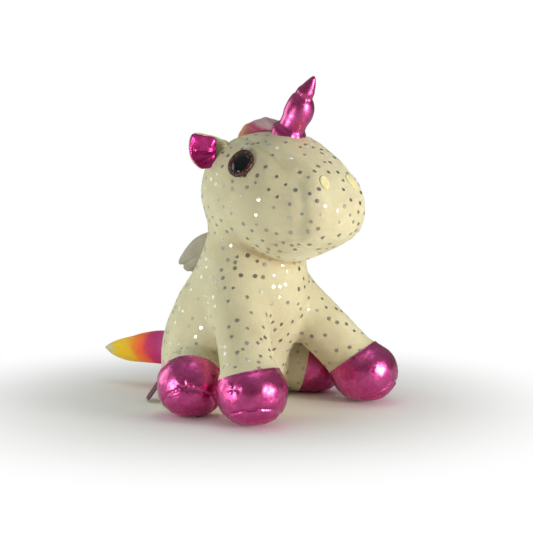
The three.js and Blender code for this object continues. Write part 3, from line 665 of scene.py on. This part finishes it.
p = p + n * (lump * flat - groove * flat - CHEEK_DEPTH * cheek + MUZZLE_PUFF * puff)[:, None]
p[:, 2] = np.maximum(p[:, 2] - SKIN_ROOM * (1 - smooth_step(p[:, 2], SKIN_ROOM, 8)), 0.0)
put(mesh, p)


def cut(bm, point, normal, centre, reach):
    """Cuts the faces near a centre along a plane."""
    near = [f for f in bm.faces if (f.calc_center_median() / MM - Vector(centre)).length < reach]
    geometry = list({*near, *(e for f in near for e in f.edges), *(v for f in near for v in f.verts)})
    bmesh.ops.bisect_plane(bm, geom=geometry, plane_co=Vector(point) * MM, plane_no=Vector(normal),
                           dist=1e-6)


bm = bmesh.new()
bm.from_mesh(mesh)
for limb in LIMBS.values():
    cut(bm, limb["hoof"] - limb["along"] * limb["cuff"], limb["along"], limb["hoof"], CUT_REACH)
bm.to_mesh(mesh)
bm.free()
mesh.update()
skin_points, skin_normals = coordinates(mesh), normals(mesh)
count = len(mesh.polygons)
centres = read(mesh.polygons, "center") / MM


HOOF_REACH = 40  # how far from its centre a hoof's cloth goes
LEG_TOPS, LEG_REACHES = {"front": 92, "hind": 56}, {"front": 999, "hind": 44}


def piece_names(c):
    """The piece that each face centre belongs to."""
    x, y, z, height = c[:, 0], c[:, 1], c[:, 2], c @ FOLD_PLANE
    side = np.where(x > 0, "left", "right")
    head_part = np.where((z > MOUTH_HEIGHT) & (np.abs(x) < gusset_half_width(y)), "forehead_gusset",
                         np.where((z <= MOUTH_HEIGHT) & (np.abs(x) < CHIN_HALF_WIDTH), "chin_panel",
                                  np.char.add("head_side_", side)))
    body_part = np.where(z < SEAT_HEIGHT, "seat_panel",
                         np.where((np.abs(x) < BELLY_HALF_WIDTH) & (y < 0), "belly_panel",
                                  np.char.add("torso_side_", side)))
    out = np.where(height > NECK_END, head_part, np.where(
        height > NECK_MIDDLE, "neck_upper", np.where(height > NECK_START, "neck_lower", body_part)))
    out = out.astype("<U24")
    for name, limb in LIMBS.items():
        near = np.linalg.norm(c - limb["hoof"], axis=1)
        own_side = x * limb["sign"] > 0
        kind, rel = limb["kind"], c - limb["hoof"]
        other = LEGS["hind" if kind == "front" else "front"]["hoof"]
        nearer = near < np.linalg.norm(c - mirrored(other, limb["sign"]), axis=1)
        reach = own_side & (c @ limb["bend"] > limb["bend_from"]) & (z < LEG_TOPS[kind])
        reach &= (near < LEG_REACHES[kind]) & (nearer | ((kind == "front") & (z > 52)))
        out[reach & (height < NECK_START)] = name
        foil = own_side & nearer & (near < HOOF_REACH) & (np.abs(leg_field(c, limb)) < 4)
        foil &= rel @ limb["along"] > -limb["cuff"]
        out[foil] = limb["hoof_name"]
        out[foil & (rel @ limb["sole"] > SOLE_DEPTH)] = limb["sole_name"]
    return out


names = piece_names(centres)
face_lists = [tuple(poly.vertices) for poly in mesh.polygons]
at_seam, deep, at_muzzle = seam_distance(skin_points)
# painted shade: how far the velour turns tan, along the deeper seams and in the fold under the chin
seam_shade = np.exp(-((at_seam / 0.9) ** 2)) * (deep > 0.3) * (1 - at_muzzle) * 0.5
seam_shade = np.maximum(seam_shade, chin_fold(skin_points))
CREAM = {**dict.fromkeys(("forehead_gusset", "chin_panel", "head_side_left", "head_side_right"), "head"),
         **dict.fromkeys(("torso_side_left", "torso_side_right", "belly_panel", "seat_panel"), "torso")}


def limb_of(name):
    """The name and the measures of the leg that a leg, hoof or sole piece belongs to."""
    return next((leg_name, limb) for leg_name, limb in LIMBS.items()
                if name in (leg_name, limb["hoof_name"], limb["sole_name"]))


def is_foil(name):
    return "hoof" in name or "sole" in name


def bend_points(name):
    """What each blended piece follows: two bodies and the two points between which it turns."""
    if name == "neck_lower":
        return "torso", "neck", FOLD_PLANE * NECK_START, FOLD_PLANE * NECK_MIDDLE
    if name == "neck_upper":
        return "neck", "head", FOLD_PLANE * NECK_MIDDLE, FOLD_PLANE * NECK_END
    leg_name, limb = limb_of(name)
    direction = limb["bend"] / (limb["bend"] @ limb["bend"])
    return "torso", leg_name, direction * limb["bend_from"], direction * limb["bend_to"]


def attach(obj, name):
    """Makes a piece of the skin ride on its body; any other piece only has its transform baked in."""
    if name in CREAM:
        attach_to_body(obj, CREAM[name])
    else:
        a, b, start, end = bend_points(name)
        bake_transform(obj)


def part_of_skin(name, which):
    """A piece made of some of the skin's faces, and which points of the skin it uses."""
    used, faces = np.unique(np.concatenate([face_lists[i] for i in which]), return_inverse=True)
    sizes = [len(face_lists[i]) for i in which]
    faces = np.split(faces, np.cumsum(sizes)[:-1])
    kind, material, slot = (("foil", FOIL, "magenta_foil_cloth") if is_foil(name)
                            else ("velour", VELOUR, "cream_velour"))
    return new_piece(f"{name}_{kind}", skin_points[used], faces, material, slot=slot), used


def pinch(points, out, centre, direction, size, depth, spokes, seed):
    """A small gathered pucker: a dimple with short folds running into it."""
    spot = centre + unit(direction) * 25
    away = points - spot
    r = np.linalg.norm(away, axis=1)
    tangent = unit(np.cross(direction, (0.3, 0.1, 1)))
    other = unit(np.cross(direction, tangent))
    angle = np.arctan2(away @ other, away @ tangent)
    folds = np.cos(spokes * angle + seed) * np.exp(-((r - size) / size) ** 2)
    return out * (0.5 * depth * folds - depth * np.exp(-((r / (0.7 * size)) ** 2)))[:, None]


REPLACED = {"seat_panel": ("torso_stuffing", "pellet_pouch", "pellet_fill"),
            "neck_upper": ("neck_stuffing",), "forehead_gusset": ("head_stuffing",)}
PUCKERS = {  # on each hoof: direction from its centre, size, depth, folds
    "hind_hoof_right": [((-0.80, -0.58, 0.12), 3.2, 0.8, 5), ((-0.66, -0.74, 0.10), 2.8, 0.7, 4),
                        ((-0.92, -0.38, -0.22), 2.4, 0.6, 4)],
    "front_hoof_right": [((-0.80, -0.42, -0.42), 3.0, 0.6, 4), ((-0.92, -0.2, 0.25), 3.0, 0.5, 4)],
    "hind_hoof_left": [((0.80, -0.55, 0.15), 3.0, 0.7, 5), ((0.95, -0.1, -0.2), 2.6, 0.6, 4)],
    "front_hoof_left": [((0.75, -0.50, -0.40), 3.0, 0.6, 4), ((0.5, -0.85, 0.1), 2.6, 0.4, 4)],
}
CUFF_ROLL = 1.6


def roll_cuff(mesh, centre, along, cuff):
    """Turns in the edge of the cloth at a hoof's cuff."""
    bm = bmesh.new()
    bm.from_mesh(mesh)
    rim = [e for e in bm.edges if e.is_boundary and all(
        abs((v.co - centre).dot(along) / MM + cuff) < 0.9 for v in e.verts)]
    made = bmesh.ops.extrude_edge_only(bm, edges=rim)["geom"]
    for v in (g for g in made if isinstance(g, bmesh.types.BMVert)):
        rel = v.co - centre
        inward = rel - along * rel.dot(along)
        v.co -= inward.normalized() * CUFF_ROLL * MM
    bm.normal_update()
    bm.to_mesh(mesh)
    bm.free()
    mesh.shade_smooth()


def shape_hoof(obj, name):
    """Gathers, the sole's groove and puckers in a hoof's or sole's cloth."""
    limb = limb_of(name)[1]
    mesh = subdivided(obj)
    q, out = coordinates(mesh), normals(mesh)
    rel = q - limb["hoof"]
    below_cuff = rel @ limb["along"] + limb["cuff"]
    sole = rel @ limb["sole"] - SOLE_DEPTH
    round_leg = np.arctan2(rel @ unit(np.cross(limb["along"], (0, 0, 1))), rel[:, 2])
    gathers = value_noise(np.stack([round_leg * 9, sole * 0.25, 0 * sole], 1), 1.0, 5)
    rise = 0.7 * np.exp(-((below_cuff / 1.3) ** 2)) + 0.22 * value_noise(q, 6, 3)
    rise += 0.45 * gathers * np.exp(-((np.abs(sole) / 4.5) ** 1.5))
    rise -= 0.9 * np.exp(-((sole / 0.9) ** 2))
    rise += 0.10 * value_noise(q, 2.4, 4)
    stay = smooth_step(q[:, 2], 0.3, 4)
    q = q + out * (rise * stay)[:, None]
    for direction, size, deep, spokes in PUCKERS.get(name, ()):
        q = q + pinch(q, out, limb["hoof"], direction, size, deep, spokes, size) * stay[:, None]
    q[:, 2] = np.maximum(q[:, 2], 0.0)
    put(mesh, q)
    if "hoof" in name:
        roll_cuff(mesh, Vector(limb["hoof"]) * MM, Vector(limb["along"]), limb["cuff"])


pieces = {}
for name in sorted(set(names)):
    which = np.nonzero(names == name)[0]
    obj, used = part_of_skin(name, which)
    if is_foil(name):
        shape_hoof(obj, name)
    else:
        obj.data.normals_split_custom_set_from_vertices(skin_normals[used].tolist())
        # hands the painted shade along the seams and under the chin to the velour's colour
        shade = obj.data.attributes.new("painted_crease_shade", "FLOAT", "POINT")
        shade.data.foreach_set("value", seam_shade[used].astype(np.float32))
    attach(obj, name)
    pieces[name] = obj
    if not name.startswith("neck"):
        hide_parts(f"{name}_skin" if name in LIMBS else name)
    if name in LIMBS:
        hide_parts(f"{name}_stuffing")
    if name in REPLACED:
        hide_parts(*REPLACED[name])

# ---- foil dots on the velour
DOT_SPACING, DOT_TRIES, DOT_AREA, DOT_SIDES = 5.4, 9000, 112.0, 10
DOT_LIFT, DOT_SINK = 0.10, 0.06
SKIN_TREE = BVHTree.FromPolygons((skin_points * MM).tolist(), face_lists)
areas = read(skin.data.polygons, "area", 1)[:, 0]
cream = ~(np.char.find(names, "hoof") >= 0) & ~(np.char.find(names, "sole") >= 0) & (centres[:, 2] > 1)
rng = np.random.default_rng(11)
weights = areas * cream
limit = int(areas[cream].sum() / MM ** 2 / DOT_AREA)
places = []
for i in rng.choice(count, DOT_TRIES, p=weights / weights.sum()):
    spread = rng.dirichlet(np.ones(len(face_lists[i])))
    spot = spread @ skin_points[list(face_lists[i])]
    room = DOT_SPACING * rng.uniform(0.75, 1.7)
    if not places or np.linalg.norm(np.array(places) - spot, axis=1).min() > room:
        places.append(spot)
    if len(places) >= limit:
        break
circle = np.linspace(0, 2 * math.pi, DOT_SIDES, endpoint=False)
dots = {}
for spot in places:
    location, normal, index, _ = SKIN_TREE.find_nearest(Vector(spot * MM))
    name = str(names[index])
    if is_foil(name):
        continue
    out = unit(np.array(normal))
    a = unit(np.cross(out, (0.2, 0.3, 1)))
    b = np.cross(out, a)
    size = rng.uniform(1.35, 1.95)
    stretch = rng.uniform(0.85, 1.0)
    centre = np.array(location) / MM
    ring = [centre + size * (math.cos(t) * a + stretch * math.sin(t) * b) for t in circle]
    store = dots.setdefault(name, ([], []))
    base = len(store[0])
    points = [centre + out * DOT_LIFT]
    for share, lift in ((0.93, DOT_LIFT), (1.0, -DOT_SINK)):
        for corner in ring:
            near = centre + share * (corner - centre)
            hit, up, _, _ = SKIN_TREE.find_nearest(Vector(near * MM))
            points.append(np.array(hit) / MM + np.array(up) * lift)
    store[0].extend(points)
    store[1].extend(cap_faces(base + 1, DOT_SIDES, base)
                    + ring_faces(2, DOT_SIDES, base + 1, flip=True))
for name, (points, faces) in sorted(dots.items()):
    obj = new_piece(f"{name}_dots", points, faces, DOT, smooth=False, slot="cream_velour")
    attach(obj, name)
print("dots", len(places), "skin faces", count)
drop(skin)


def on_skin(point, direction):
    """Where a line from outside, coming in against a direction, meets the skin, and its normal."""
    d = Vector(unit(direction))
    hit, normal, _, _ = SKIN_TREE.ray_cast((Vector(point) + d * 40) * MM, -d)
    return np.array(hit) / MM, np.array(normal)


# ---- eyes and nostrils
EYE, EYE_OUT = (44.3, -48.8, 190.8), (0.86, -0.1, 0.49)
PUPIL_SHIFT = (0.2, -1.1, -0.7)  # the pupil sits a little forward and low in its ring
EYE_PROFILE = {  # radius, height over the cloth and share of the pupil's shift, from the edge inwards
    "rim": [(11.0, -2.0, 0), (11.2, -0.4, 0), (11.0, 0.4, 0.05), (10.4, 0.9, 0.2), (9.4, 1.15, 0.5),
            (8.4, 1.25, 0.8), (7.9, 1.25, 1), (7.7, 0.7, 1)],
    "pupil": [(7.9, 0.6, 1), (7.85, 1.3, 1), (7.4, 1.8, 1), (6.4, 2.3, 1), (5.0, 2.75, 1), (3.4, 3.05, 1),
              (1.7, 3.2, 1), (0.0, 3.25, 1)]}


def lathed(name, profile, centre, out, material, body, shift, slot, around=48):
    """A dome turned round its middle, whose rows slide by their share of a shift."""
    a = unit(np.cross(out, (0, 0, 1)))
    b = np.cross(out, a)
    angles = np.linspace(0, 2 * math.pi, around, endpoint=False)
    points = []
    for r, h, share in profile:
        middle = centre + out * h + share * shift
        points.extend([middle] if r == 0 else
                      [middle + r * (math.cos(t) * a + math.sin(t) * b) for t in angles])
    rings = sum(r > 0 for r, _, _ in profile)
    faces = ring_faces(rings, around)
    if rings < len(profile):  # a dome closes in one point
        faces += cap_faces((rings - 1) * around, around, rings * around)
    return new_piece(name, points, faces, material, body, slot=slot)


EYE_GLITTER = glitter_material()
for side, sign in SIDES.items():
    centre, out = mirrored(EYE, sign), unit(mirrored(EYE_OUT, sign))
    for part, material in (("rim", EYE_GLITTER), ("pupil", PUPIL)):
        obj = lathed(f"eye_{side}_{part}_dome", EYE_PROFILE[part], centre, out, material, "head",
                     mirrored(PUPIL_SHIFT, sign), slot="eye_glitter" if part == "rim" else "eye_black")
        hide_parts(f"eye_{side}_{part}")
        if part == "rim":
            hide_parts(f"eye_{side}_washer")

NOSTRIL, NOSTRIL_OUT, NOSTRIL_HALF = (14.3, -105, 175.8), (0.3, -0.7, 0.65), (4.0, 5.6)
THREAD_RADIUS, STITCHES = 0.42, 17


def tube(path, radius, around=6, up=(0, 0, 1)):
    """Points and faces of a closed thread along a path."""
    path = np.asarray(path, float)
    points = [path[0]]
    for k in range(len(path)):
        along = unit(path[min(k + 1, len(path) - 1)] - path[max(k - 1, 0)])
        a = unit(np.cross(along, up))
        b = np.cross(a, along)
        fade = 1.0 if 0 < k < len(path) - 1 else 0.6
        for t in np.linspace(0, 2 * math.pi, around, endpoint=False):
            points.append(path[k] + radius * fade * (math.cos(t) * a + math.sin(t) * b))
    last = len(points)
    points.append(path[-1])
    return points, (cap_faces(1, around, 0, flip=True) + ring_faces(len(path), around, 1)
                    + cap_faces(last - around, around, last))


def gather(parts):
    """Several lists of points and faces as one."""
    points, faces = [], []
    for p, f in parts:
        base = len(points)
        points.extend(p)
        faces.extend([tuple(i + base for i in face) for face in f])
    return points, faces


for side, sign in SIDES.items():
    centre, out = mirrored(NOSTRIL, sign), unit(mirrored(NOSTRIL_OUT, sign))
    across = unit(np.cross(out, (0, 0, 1)))
    up = np.cross(across, out)
    up = up if up[2] > 0 else -up
    threads = []
    for v in np.linspace(-0.96, 0.96, STITCHES):
        half = NOSTRIL_HALF[0] * math.sqrt(1 - v * v) + 0.35
        line = []
        for u in np.linspace(-1, 1, 9):
            place, normal = on_skin(centre + across * u * half + up * v * NOSTRIL_HALF[1], out)
            line.append(place + normal * (0.62 * math.sqrt(max(0, 1 - u * u)) - 0.12))
        threads.append(tube(line, THREAD_RADIUS, up=tuple(up)))
    points, faces = gather(threads)
    obj = new_piece(f"nostril_{side}_stitches", points, faces, THREAD, "head", slot="nostril_thread")
    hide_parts(f"nostril_{side}")

# ---- horn
HORN_BASE, HORN_LEAN = np.array([0, -58, 214.5]), math.radians(31)
HORN_AXIS = np.array([0, -math.sin(HORN_LEAN), math.cos(HORN_LEAN)])
HORN_SIDE = np.array([1.0, 0, 0])
HORN_FRONT = np.cross(HORN_AXIS, HORN_SIDE)  # up and back from the axis
HORN_PROFILE = np.array([[-6, 13.6], [-2, 13.6], [1, 12.4], [4, 10.4], [8, 10.3], [15, 11.2],
                         [21, 10.7], [26.5, 9.0], [30.6, 6.5], [33, 6.6], [37, 5.3], [41, 3.9],
                         [44.5, 2.3], [46.6, 1.0], [47.2, 0.0]], float)
CINCH, LOOP_RADIUS, AROUND = 30.6, 0.38, 66


def horn_point(h, t):
    r = cubic(np.array([h]), HORN_PROFILE[:, 0], HORN_PROFILE[:, 1])[0]
    foot = 1 - smooth_step(h, 0, 6)
    waist = math.exp(-((h - CINCH) / 2.6) ** 2)
    ruffle = (0.022 * foot * math.cos(11 * t + 0.6) + 0.010 * foot * math.cos(17 * t + h)
              + 0.03 * waist * math.cos(9 * t) + 0.012 * math.cos(4 * t + 0.15 * h))
    lean = 0.3 * math.exp(-((h - 15) / 8) ** 2) - 1.1 * math.exp(-((h - 31) / 6) ** 2)
    centre = HORN_BASE + HORN_AXIS * h + lean * (0.75 * HORN_SIDE - 0.66 * HORN_FRONT)
    return centre + r * (1 + ruffle) * (math.cos(t) * HORN_SIDE + math.sin(t) * HORN_FRONT)


HORN_ROWS = np.r_[np.linspace(-6, 24, 26), np.linspace(24.6, 35, 18), np.linspace(36, 47.0, 14)]
points = [horn_point(h, t) for h in HORN_ROWS
          for t in np.linspace(0, 2 * math.pi, AROUND, endpoint=False)]
tip = len(points)
points.append(HORN_BASE + HORN_AXIS * 47.3)
faces = ring_faces(len(HORN_ROWS), AROUND) + cap_faces(tip - AROUND, AROUND, tip)
horn = new_piece("horn_foil", points, faces, FOIL, slot="magenta_foil_cloth")
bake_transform(horn)
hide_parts("horn_skin", "horn_stuffing")
loops = []
for turn in range(2):
    line = [horn_point(CINCH - 0.5 + 0.5 * turn + 0.5 * t / 6.3, t)
            for t in np.linspace(0, 2 * math.pi * 0.99, 44)]
    loops.append(tube(line, LOOP_RADIUS))
points, faces = gather(loops)
obj = new_piece("horn_thread_loops", points, faces, HORN_THREAD, "horn", slot="horn_thread")
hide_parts("horn_thread")

# ---- ears
EAR_ROOT, EAR_OUTWARD = (37, -18, 197), (0.75, 0.66, 0)
EAR_INNER = np.array([[3, -6], [5.5, -10.2], [9.5, -11.2], [14.5, -10.6], [20.2, -3.8], [21.6, 4],
                      [20.9, 11.5], [18.8, 14.6], [10, 13.0], [2.6, 11.4], [2.4, 2]], float)
EAR_OUTER = np.array([[-7, 2], [3, -9.4], [9, -11], [14.5, -10.5], [20.3, -4], [22, 4], [21, 12],
                      [17, 15], [8, 13.5], [3, 12.4], [-2, 10.2], [-7, 8.2]], float)


def closed_curve(outline, count):
    """A smooth closed line through the outline's points."""
    n = len(outline)
    out = []
    for s in np.linspace(0, n, count, endpoint=False):
        k, t = int(s), s - int(s)
        p0, p1, p2, p3 = (outline[(k + i - 1) % n] for i in range(4))
        out.append(0.5 * (2 * p1 + (p2 - p0) * t + (2 * p0 - 5 * p1 + 4 * p2 - p3) * t * t
                          + (3 * p1 - p0 - 3 * p2 + p3) * t ** 3))
    return np.array(out)


def fan_patch(outline, middle, height, rows=12, spokes=64):
    """A patch of rings from a middle point to an outline: points (u, v, w) and faces."""
    edge = closed_curve(outline, spokes)
    points = [np.array([*middle, height(np.array(middle), 0.0)])]
    for share in np.arange(1, rows + 1) / rows:
        for end in edge:
            place = np.array(middle) + share * (end - middle)
            points.append(np.array([*place, height(place, share)]))
    return np.array(points), cap_faces(1, spokes, 0) + ring_faces(rows, spokes, 1, flip=True)


def ear_folds(place):
    """Folds of the foil that run out from the ear's root."""
    away = place - np.array([0.5, 0.5])
    angle = math.atan2(away[1], away[0])
    reach = min(1.0, np.linalg.norm(away) / 9)
    ridge = math.exp(-((angle + 0.42) / 0.24) ** 2)
    valley = math.exp(-((angle - 0.10) / 0.22) ** 2)
    return reach * (1.7 * ridge - 1.5 * valley)


def ear_inner_height(place, share):
    return -3.6 * (1 - share ** 2.2) + ear_folds(place) * (1 - share ** 6) + 0.4


def ear_outer_height(_, share):
    return -5.6 * (1 - share ** 2.4)


# each layer: its piece, the CAD's node, outline, middle, height, material, slot and thickness
EAR_LAYERS = (("lining", "inner", EAR_INNER, (9.5, 1.5), ear_inner_height, EAR_FOIL,
               "magenta_foil_cloth", 0.5),
              ("back", "outer", EAR_OUTER, (8, 1.5), ear_outer_height, VELOUR, "cream_velour", 1.0))
for side, sign in SIDES.items():
    root, outward = mirrored(EAR_ROOT, sign), unit(mirrored(EAR_OUTWARD, sign))
    forward = np.array([-outward[1] * sign, outward[0] * sign, 0])
    forward = forward if forward[1] < 0 else -forward
    axes = np.array([outward, (0, 0, 1), forward])
    for part, node, outline, middle, height, material, slot, thick in EAR_LAYERS:
        local, faces = fan_patch(outline, middle, height)
        faces = turned(faces) if np.linalg.det(axes) < 0 else faces
        obj = new_piece(f"ear_{side}_{part}", root + local @ axes, faces, material, f"ear_{side}",
                        slot=slot)
        thin = obj.modifiers.new("thickness", "SOLIDIFY")
        thin.thickness, thin.offset = thick * MM, -1
        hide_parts(f"ear_{side}_{node}")

# ---- wings
WING_ROOT, WING_OUTWARD, WING_RISE = (9, 27.5, 102), (0.5, 0.866, 0), (0, -0.447, 0.894)
WING_OUTLINE = np.array([[-4, 0], [3, -3.2], [8, -2.8], [10.5, -1.0], [14.5, -1.0], [18, 1.8],
                         [19.3, 5.0], [22.5, 5.2], [24.2, 9], [22.5, 18], [18.5, 27.5], [12, 33.5],
                         [5, 35.5], [-4, 34]], float)
NOTCHES = [(10.5, -1.0), (19.3, 5.0)]


def wing_height(way):
    """How far a wing's layer stands out, with a stitched line from each notch."""
    def height(place, share):
        puff = 1.9 * math.sqrt(max(0.0, 1 - share ** 5)) + 0.25
        start = np.array([-3.0, 24.0])
        for notch in NOTCHES:
            along = unit(np.array(notch) - start)
            off = place - start
            gap = abs(off[0] * along[1] - off[1] * along[0])
            puff -= 0.9 * math.exp(-((gap / 0.9) ** 2)) * min(1.0, share * 1.5) * (1 - share ** 8)
        return way * max(puff, 0.2)

    return height


for side, sign in SIDES.items():
    root, outward = mirrored(WING_ROOT, sign), unit(mirrored(WING_OUTWARD, sign))
    rise = unit(WING_RISE)
    facing = unit(np.cross(outward, rise)) * sign
    for part, way in (("front", 1), ("back", -1)):
        local, faces = fan_patch(WING_OUTLINE, (8, 16), wing_height(way))
        points = root + local @ np.array([outward, rise, facing])
        faces = faces if sign * way > 0 else turned(faces)
        obj = new_piece(f"wing_{side}_{part}_satin", points, faces, WING_SATIN, f"wing_{side}",
                        slot="wing_satin")
        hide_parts(f"wing_{side}_{part}")

# ---- tail and mane
TAIL = np.array([[0, 45, 33, 9, 9], [0, 49, 33, 9.5, 10], [0, 56, 33, 11, 12], [-1, 68, 33, 11.5, 13.2],
                 [-4, 84, 32.4, 11.5, 14], [-8, 104, 31, 10, 12.4], [-12.5, 120, 29, 7.5, 9.6],
                 [-17, 131, 28.6, 4.6, 5.6], [-20, 138, 28.8, 1.0, 1.0]], float)
MANE_STATIONS = np.array([[0, -5.5, 203, 4, 3], [0, -7.5, 205.5, 6.5, 6], [0, -11, 209, 8.5, 8.2],
                          [0, -18, 212, 9.3, 8.6], [0, -27, 215, 9.8, 8.6], [0, -36, 216, 9.3, 7.6],
                          [0, -46, 216, 8, 5.6], [0, -52, 216, 6, 3.0]], float)


def lofted(table, rows, around, wave):
    """A closed tuft along stations (x, y, z, half width, half height)."""
    order = table[np.argsort(table[:, 1])]
    ys = np.linspace(order[0, 1], order[-1, 1], rows)
    columns = [cubic(ys, order[:, 1], order[:, i]) for i in (0, 2, 3, 4)]
    points = []
    for k in range(rows):
        cx, cz, w, h = (c[k] for c in columns)
        for t in np.linspace(0, 2 * math.pi, around, endpoint=False):
            g = 1 + wave(t, ys[k])
            points.append((cx + w * g * math.cos(t), ys[k], cz + h * g * math.sin(t)))
    first = len(points)
    points += [(columns[0][0], ys[0] - 0.2, columns[1][0]),
               (columns[0][-1], ys[-1] + 0.2, columns[1][-1])]
    faces = ring_faces(rows, around, flip=True) + cap_faces(0, around, first)
    return np.array(points), faces + cap_faces(first - around, around, first + 1, flip=True)


points, faces = lofted(TAIL, 60, 48, lambda t, y: (
    0.035 * math.sin(3 * t + y * 0.05) + 0.02 * math.sin(7 * t + y * 0.11)))
tail = new_piece("tail_pile", points, faces, RAINBOW, slot="rainbow_pile")
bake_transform(tail)
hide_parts("tail_skin", "tail_stuffing")
points, faces = lofted(MANE_STATIONS, 40, 40, lambda t, y: (
    0.05 * math.sin(3 * t + y * 0.28) + 0.03 * math.sin(7 * t + y * 0.5)))
mane = new_piece("mane_tuft", points, faces, MANE, "head", slot="mane_pile")
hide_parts("mane")

# ---- care label
LABEL_ROOT, LABEL_OUT = np.array([-46.4, 37.9, 18.6]), unit((-0.83, 0.56, 0))
LABEL_DROOP, LABEL_LONG, LABEL_WIDE, LABEL_GAP = math.radians(58), 21.5, 15, 0.32
label_along = LABEL_OUT * math.cos(LABEL_DROOP) - np.array([0, 0, math.sin(LABEL_DROOP)])
label_across = unit((0.56, 0.83, 0))
label_face = unit(np.cross(label_across, label_along))
rows, columns = 30, 8
points = []
for k in range(rows + 1):
    run = k / rows * 2  # out along one leaf to 1, then back along the other
    down = (1 - abs(1 - run)) * LABEL_LONG
    away = LABEL_GAP * (1 if run < 1 else -1) * min(1.0, abs(1 - run) * 9)
    curl = 1.0 * (down / LABEL_LONG) ** 2
    for i in range(columns + 1):
        u = (i / columns - 0.5) * LABEL_WIDE
        points.append(LABEL_ROOT + label_along * (down - 1.0) + label_across * u
                      + label_face * (away + curl + 0.15 * math.sin(u * 0.5)))
faces = ring_faces(rows + 1, columns + 1, closed=False)
label = new_piece("label_ribbon", points, faces, LABEL_SATIN, "label", slot="label_satin")
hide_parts("care_label")

# ---- a loop over the pieces that works out a number for each and keeps it nowhere
for name, obj in pieces.items():
    if "sole" not in name and "neck" not in name:
        0.9 if "head" in name or "torso" in name else 0.85

# ---- floor and world
FLOOR_HALF, FADE_FROM, FADE_TO = 6, 0.07, 0.30  # metres; the floor fades to white as it goes away
floor_mesh = bpy.data.meshes.new("floor")
corners = [(x * FLOOR_HALF, y * FLOOR_HALF, 0) for x, y in ((-1, -1), (1, -1), (1, 1), (-1, 1))]
floor_mesh.from_pydata(corners, [], [(0, 1, 2, 3)])
floor = link("floor", floor_mesh)
floor_material, n, place = finish_of("floor", 0.9, Specular_IOR_Level=0.1)
n.join(n.ramp(n.noise(place, 6, 2), [(0.3, (0.88, 0.88, 0.875)), (0.7, (0.91, 0.91, 0.905))]),
       "Base Color")
away = n.add("ShaderNodeVectorMath", {0: place}, operation="LENGTH").outputs["Value"]
fade = n.spread(away, FADE_FROM, FADE_TO, interpolation_type="SMOOTHSTEP")
paper = n.add("ShaderNodeEmission", {"Color": (1, 1, 1, 1), "Strength": 1.0}).outputs[0]
seen = n.add("ShaderNodeLightPath").outputs["Is Camera Ray"]
ground = n.add("ShaderNodeMixShader", {
    0: n.maths("MULTIPLY", fade, seen), 1: n.shader.outputs[0], 2: paper})
n.tree.links.new(ground.outputs[0], n.tree.nodes["Material Output"].inputs["Surface"])
floor_mesh.materials.append(floor_material)
world = bpy.data.worlds.new("studio")
SCENE.world = world
world.use_nodes = True
n = Nodes(world.node_tree)
background = world.node_tree.nodes["Background"]
seen = n.add("ShaderNodeLightPath").outputs["Is Camera Ray"]
height = n.add("ShaderNodeSeparateXYZ", {"Vector": n.add("ShaderNodeTexCoord").outputs["Generated"]})
room = n.ramp(n.maths("MULTIPLY_ADD", height.outputs["Z"], 0.5, 0.5),
              [(0.45, (0.20, 0.145, 0.10)), (0.62, (0.19, 0.175, 0.15)), (1.0, (0.36, 0.375, 0.37))])
world.node_tree.links.new(n.mix(seen, room, (1, 1, 1)), background.inputs["Color"])
SCENE.view_settings.view_transform = "Standard"
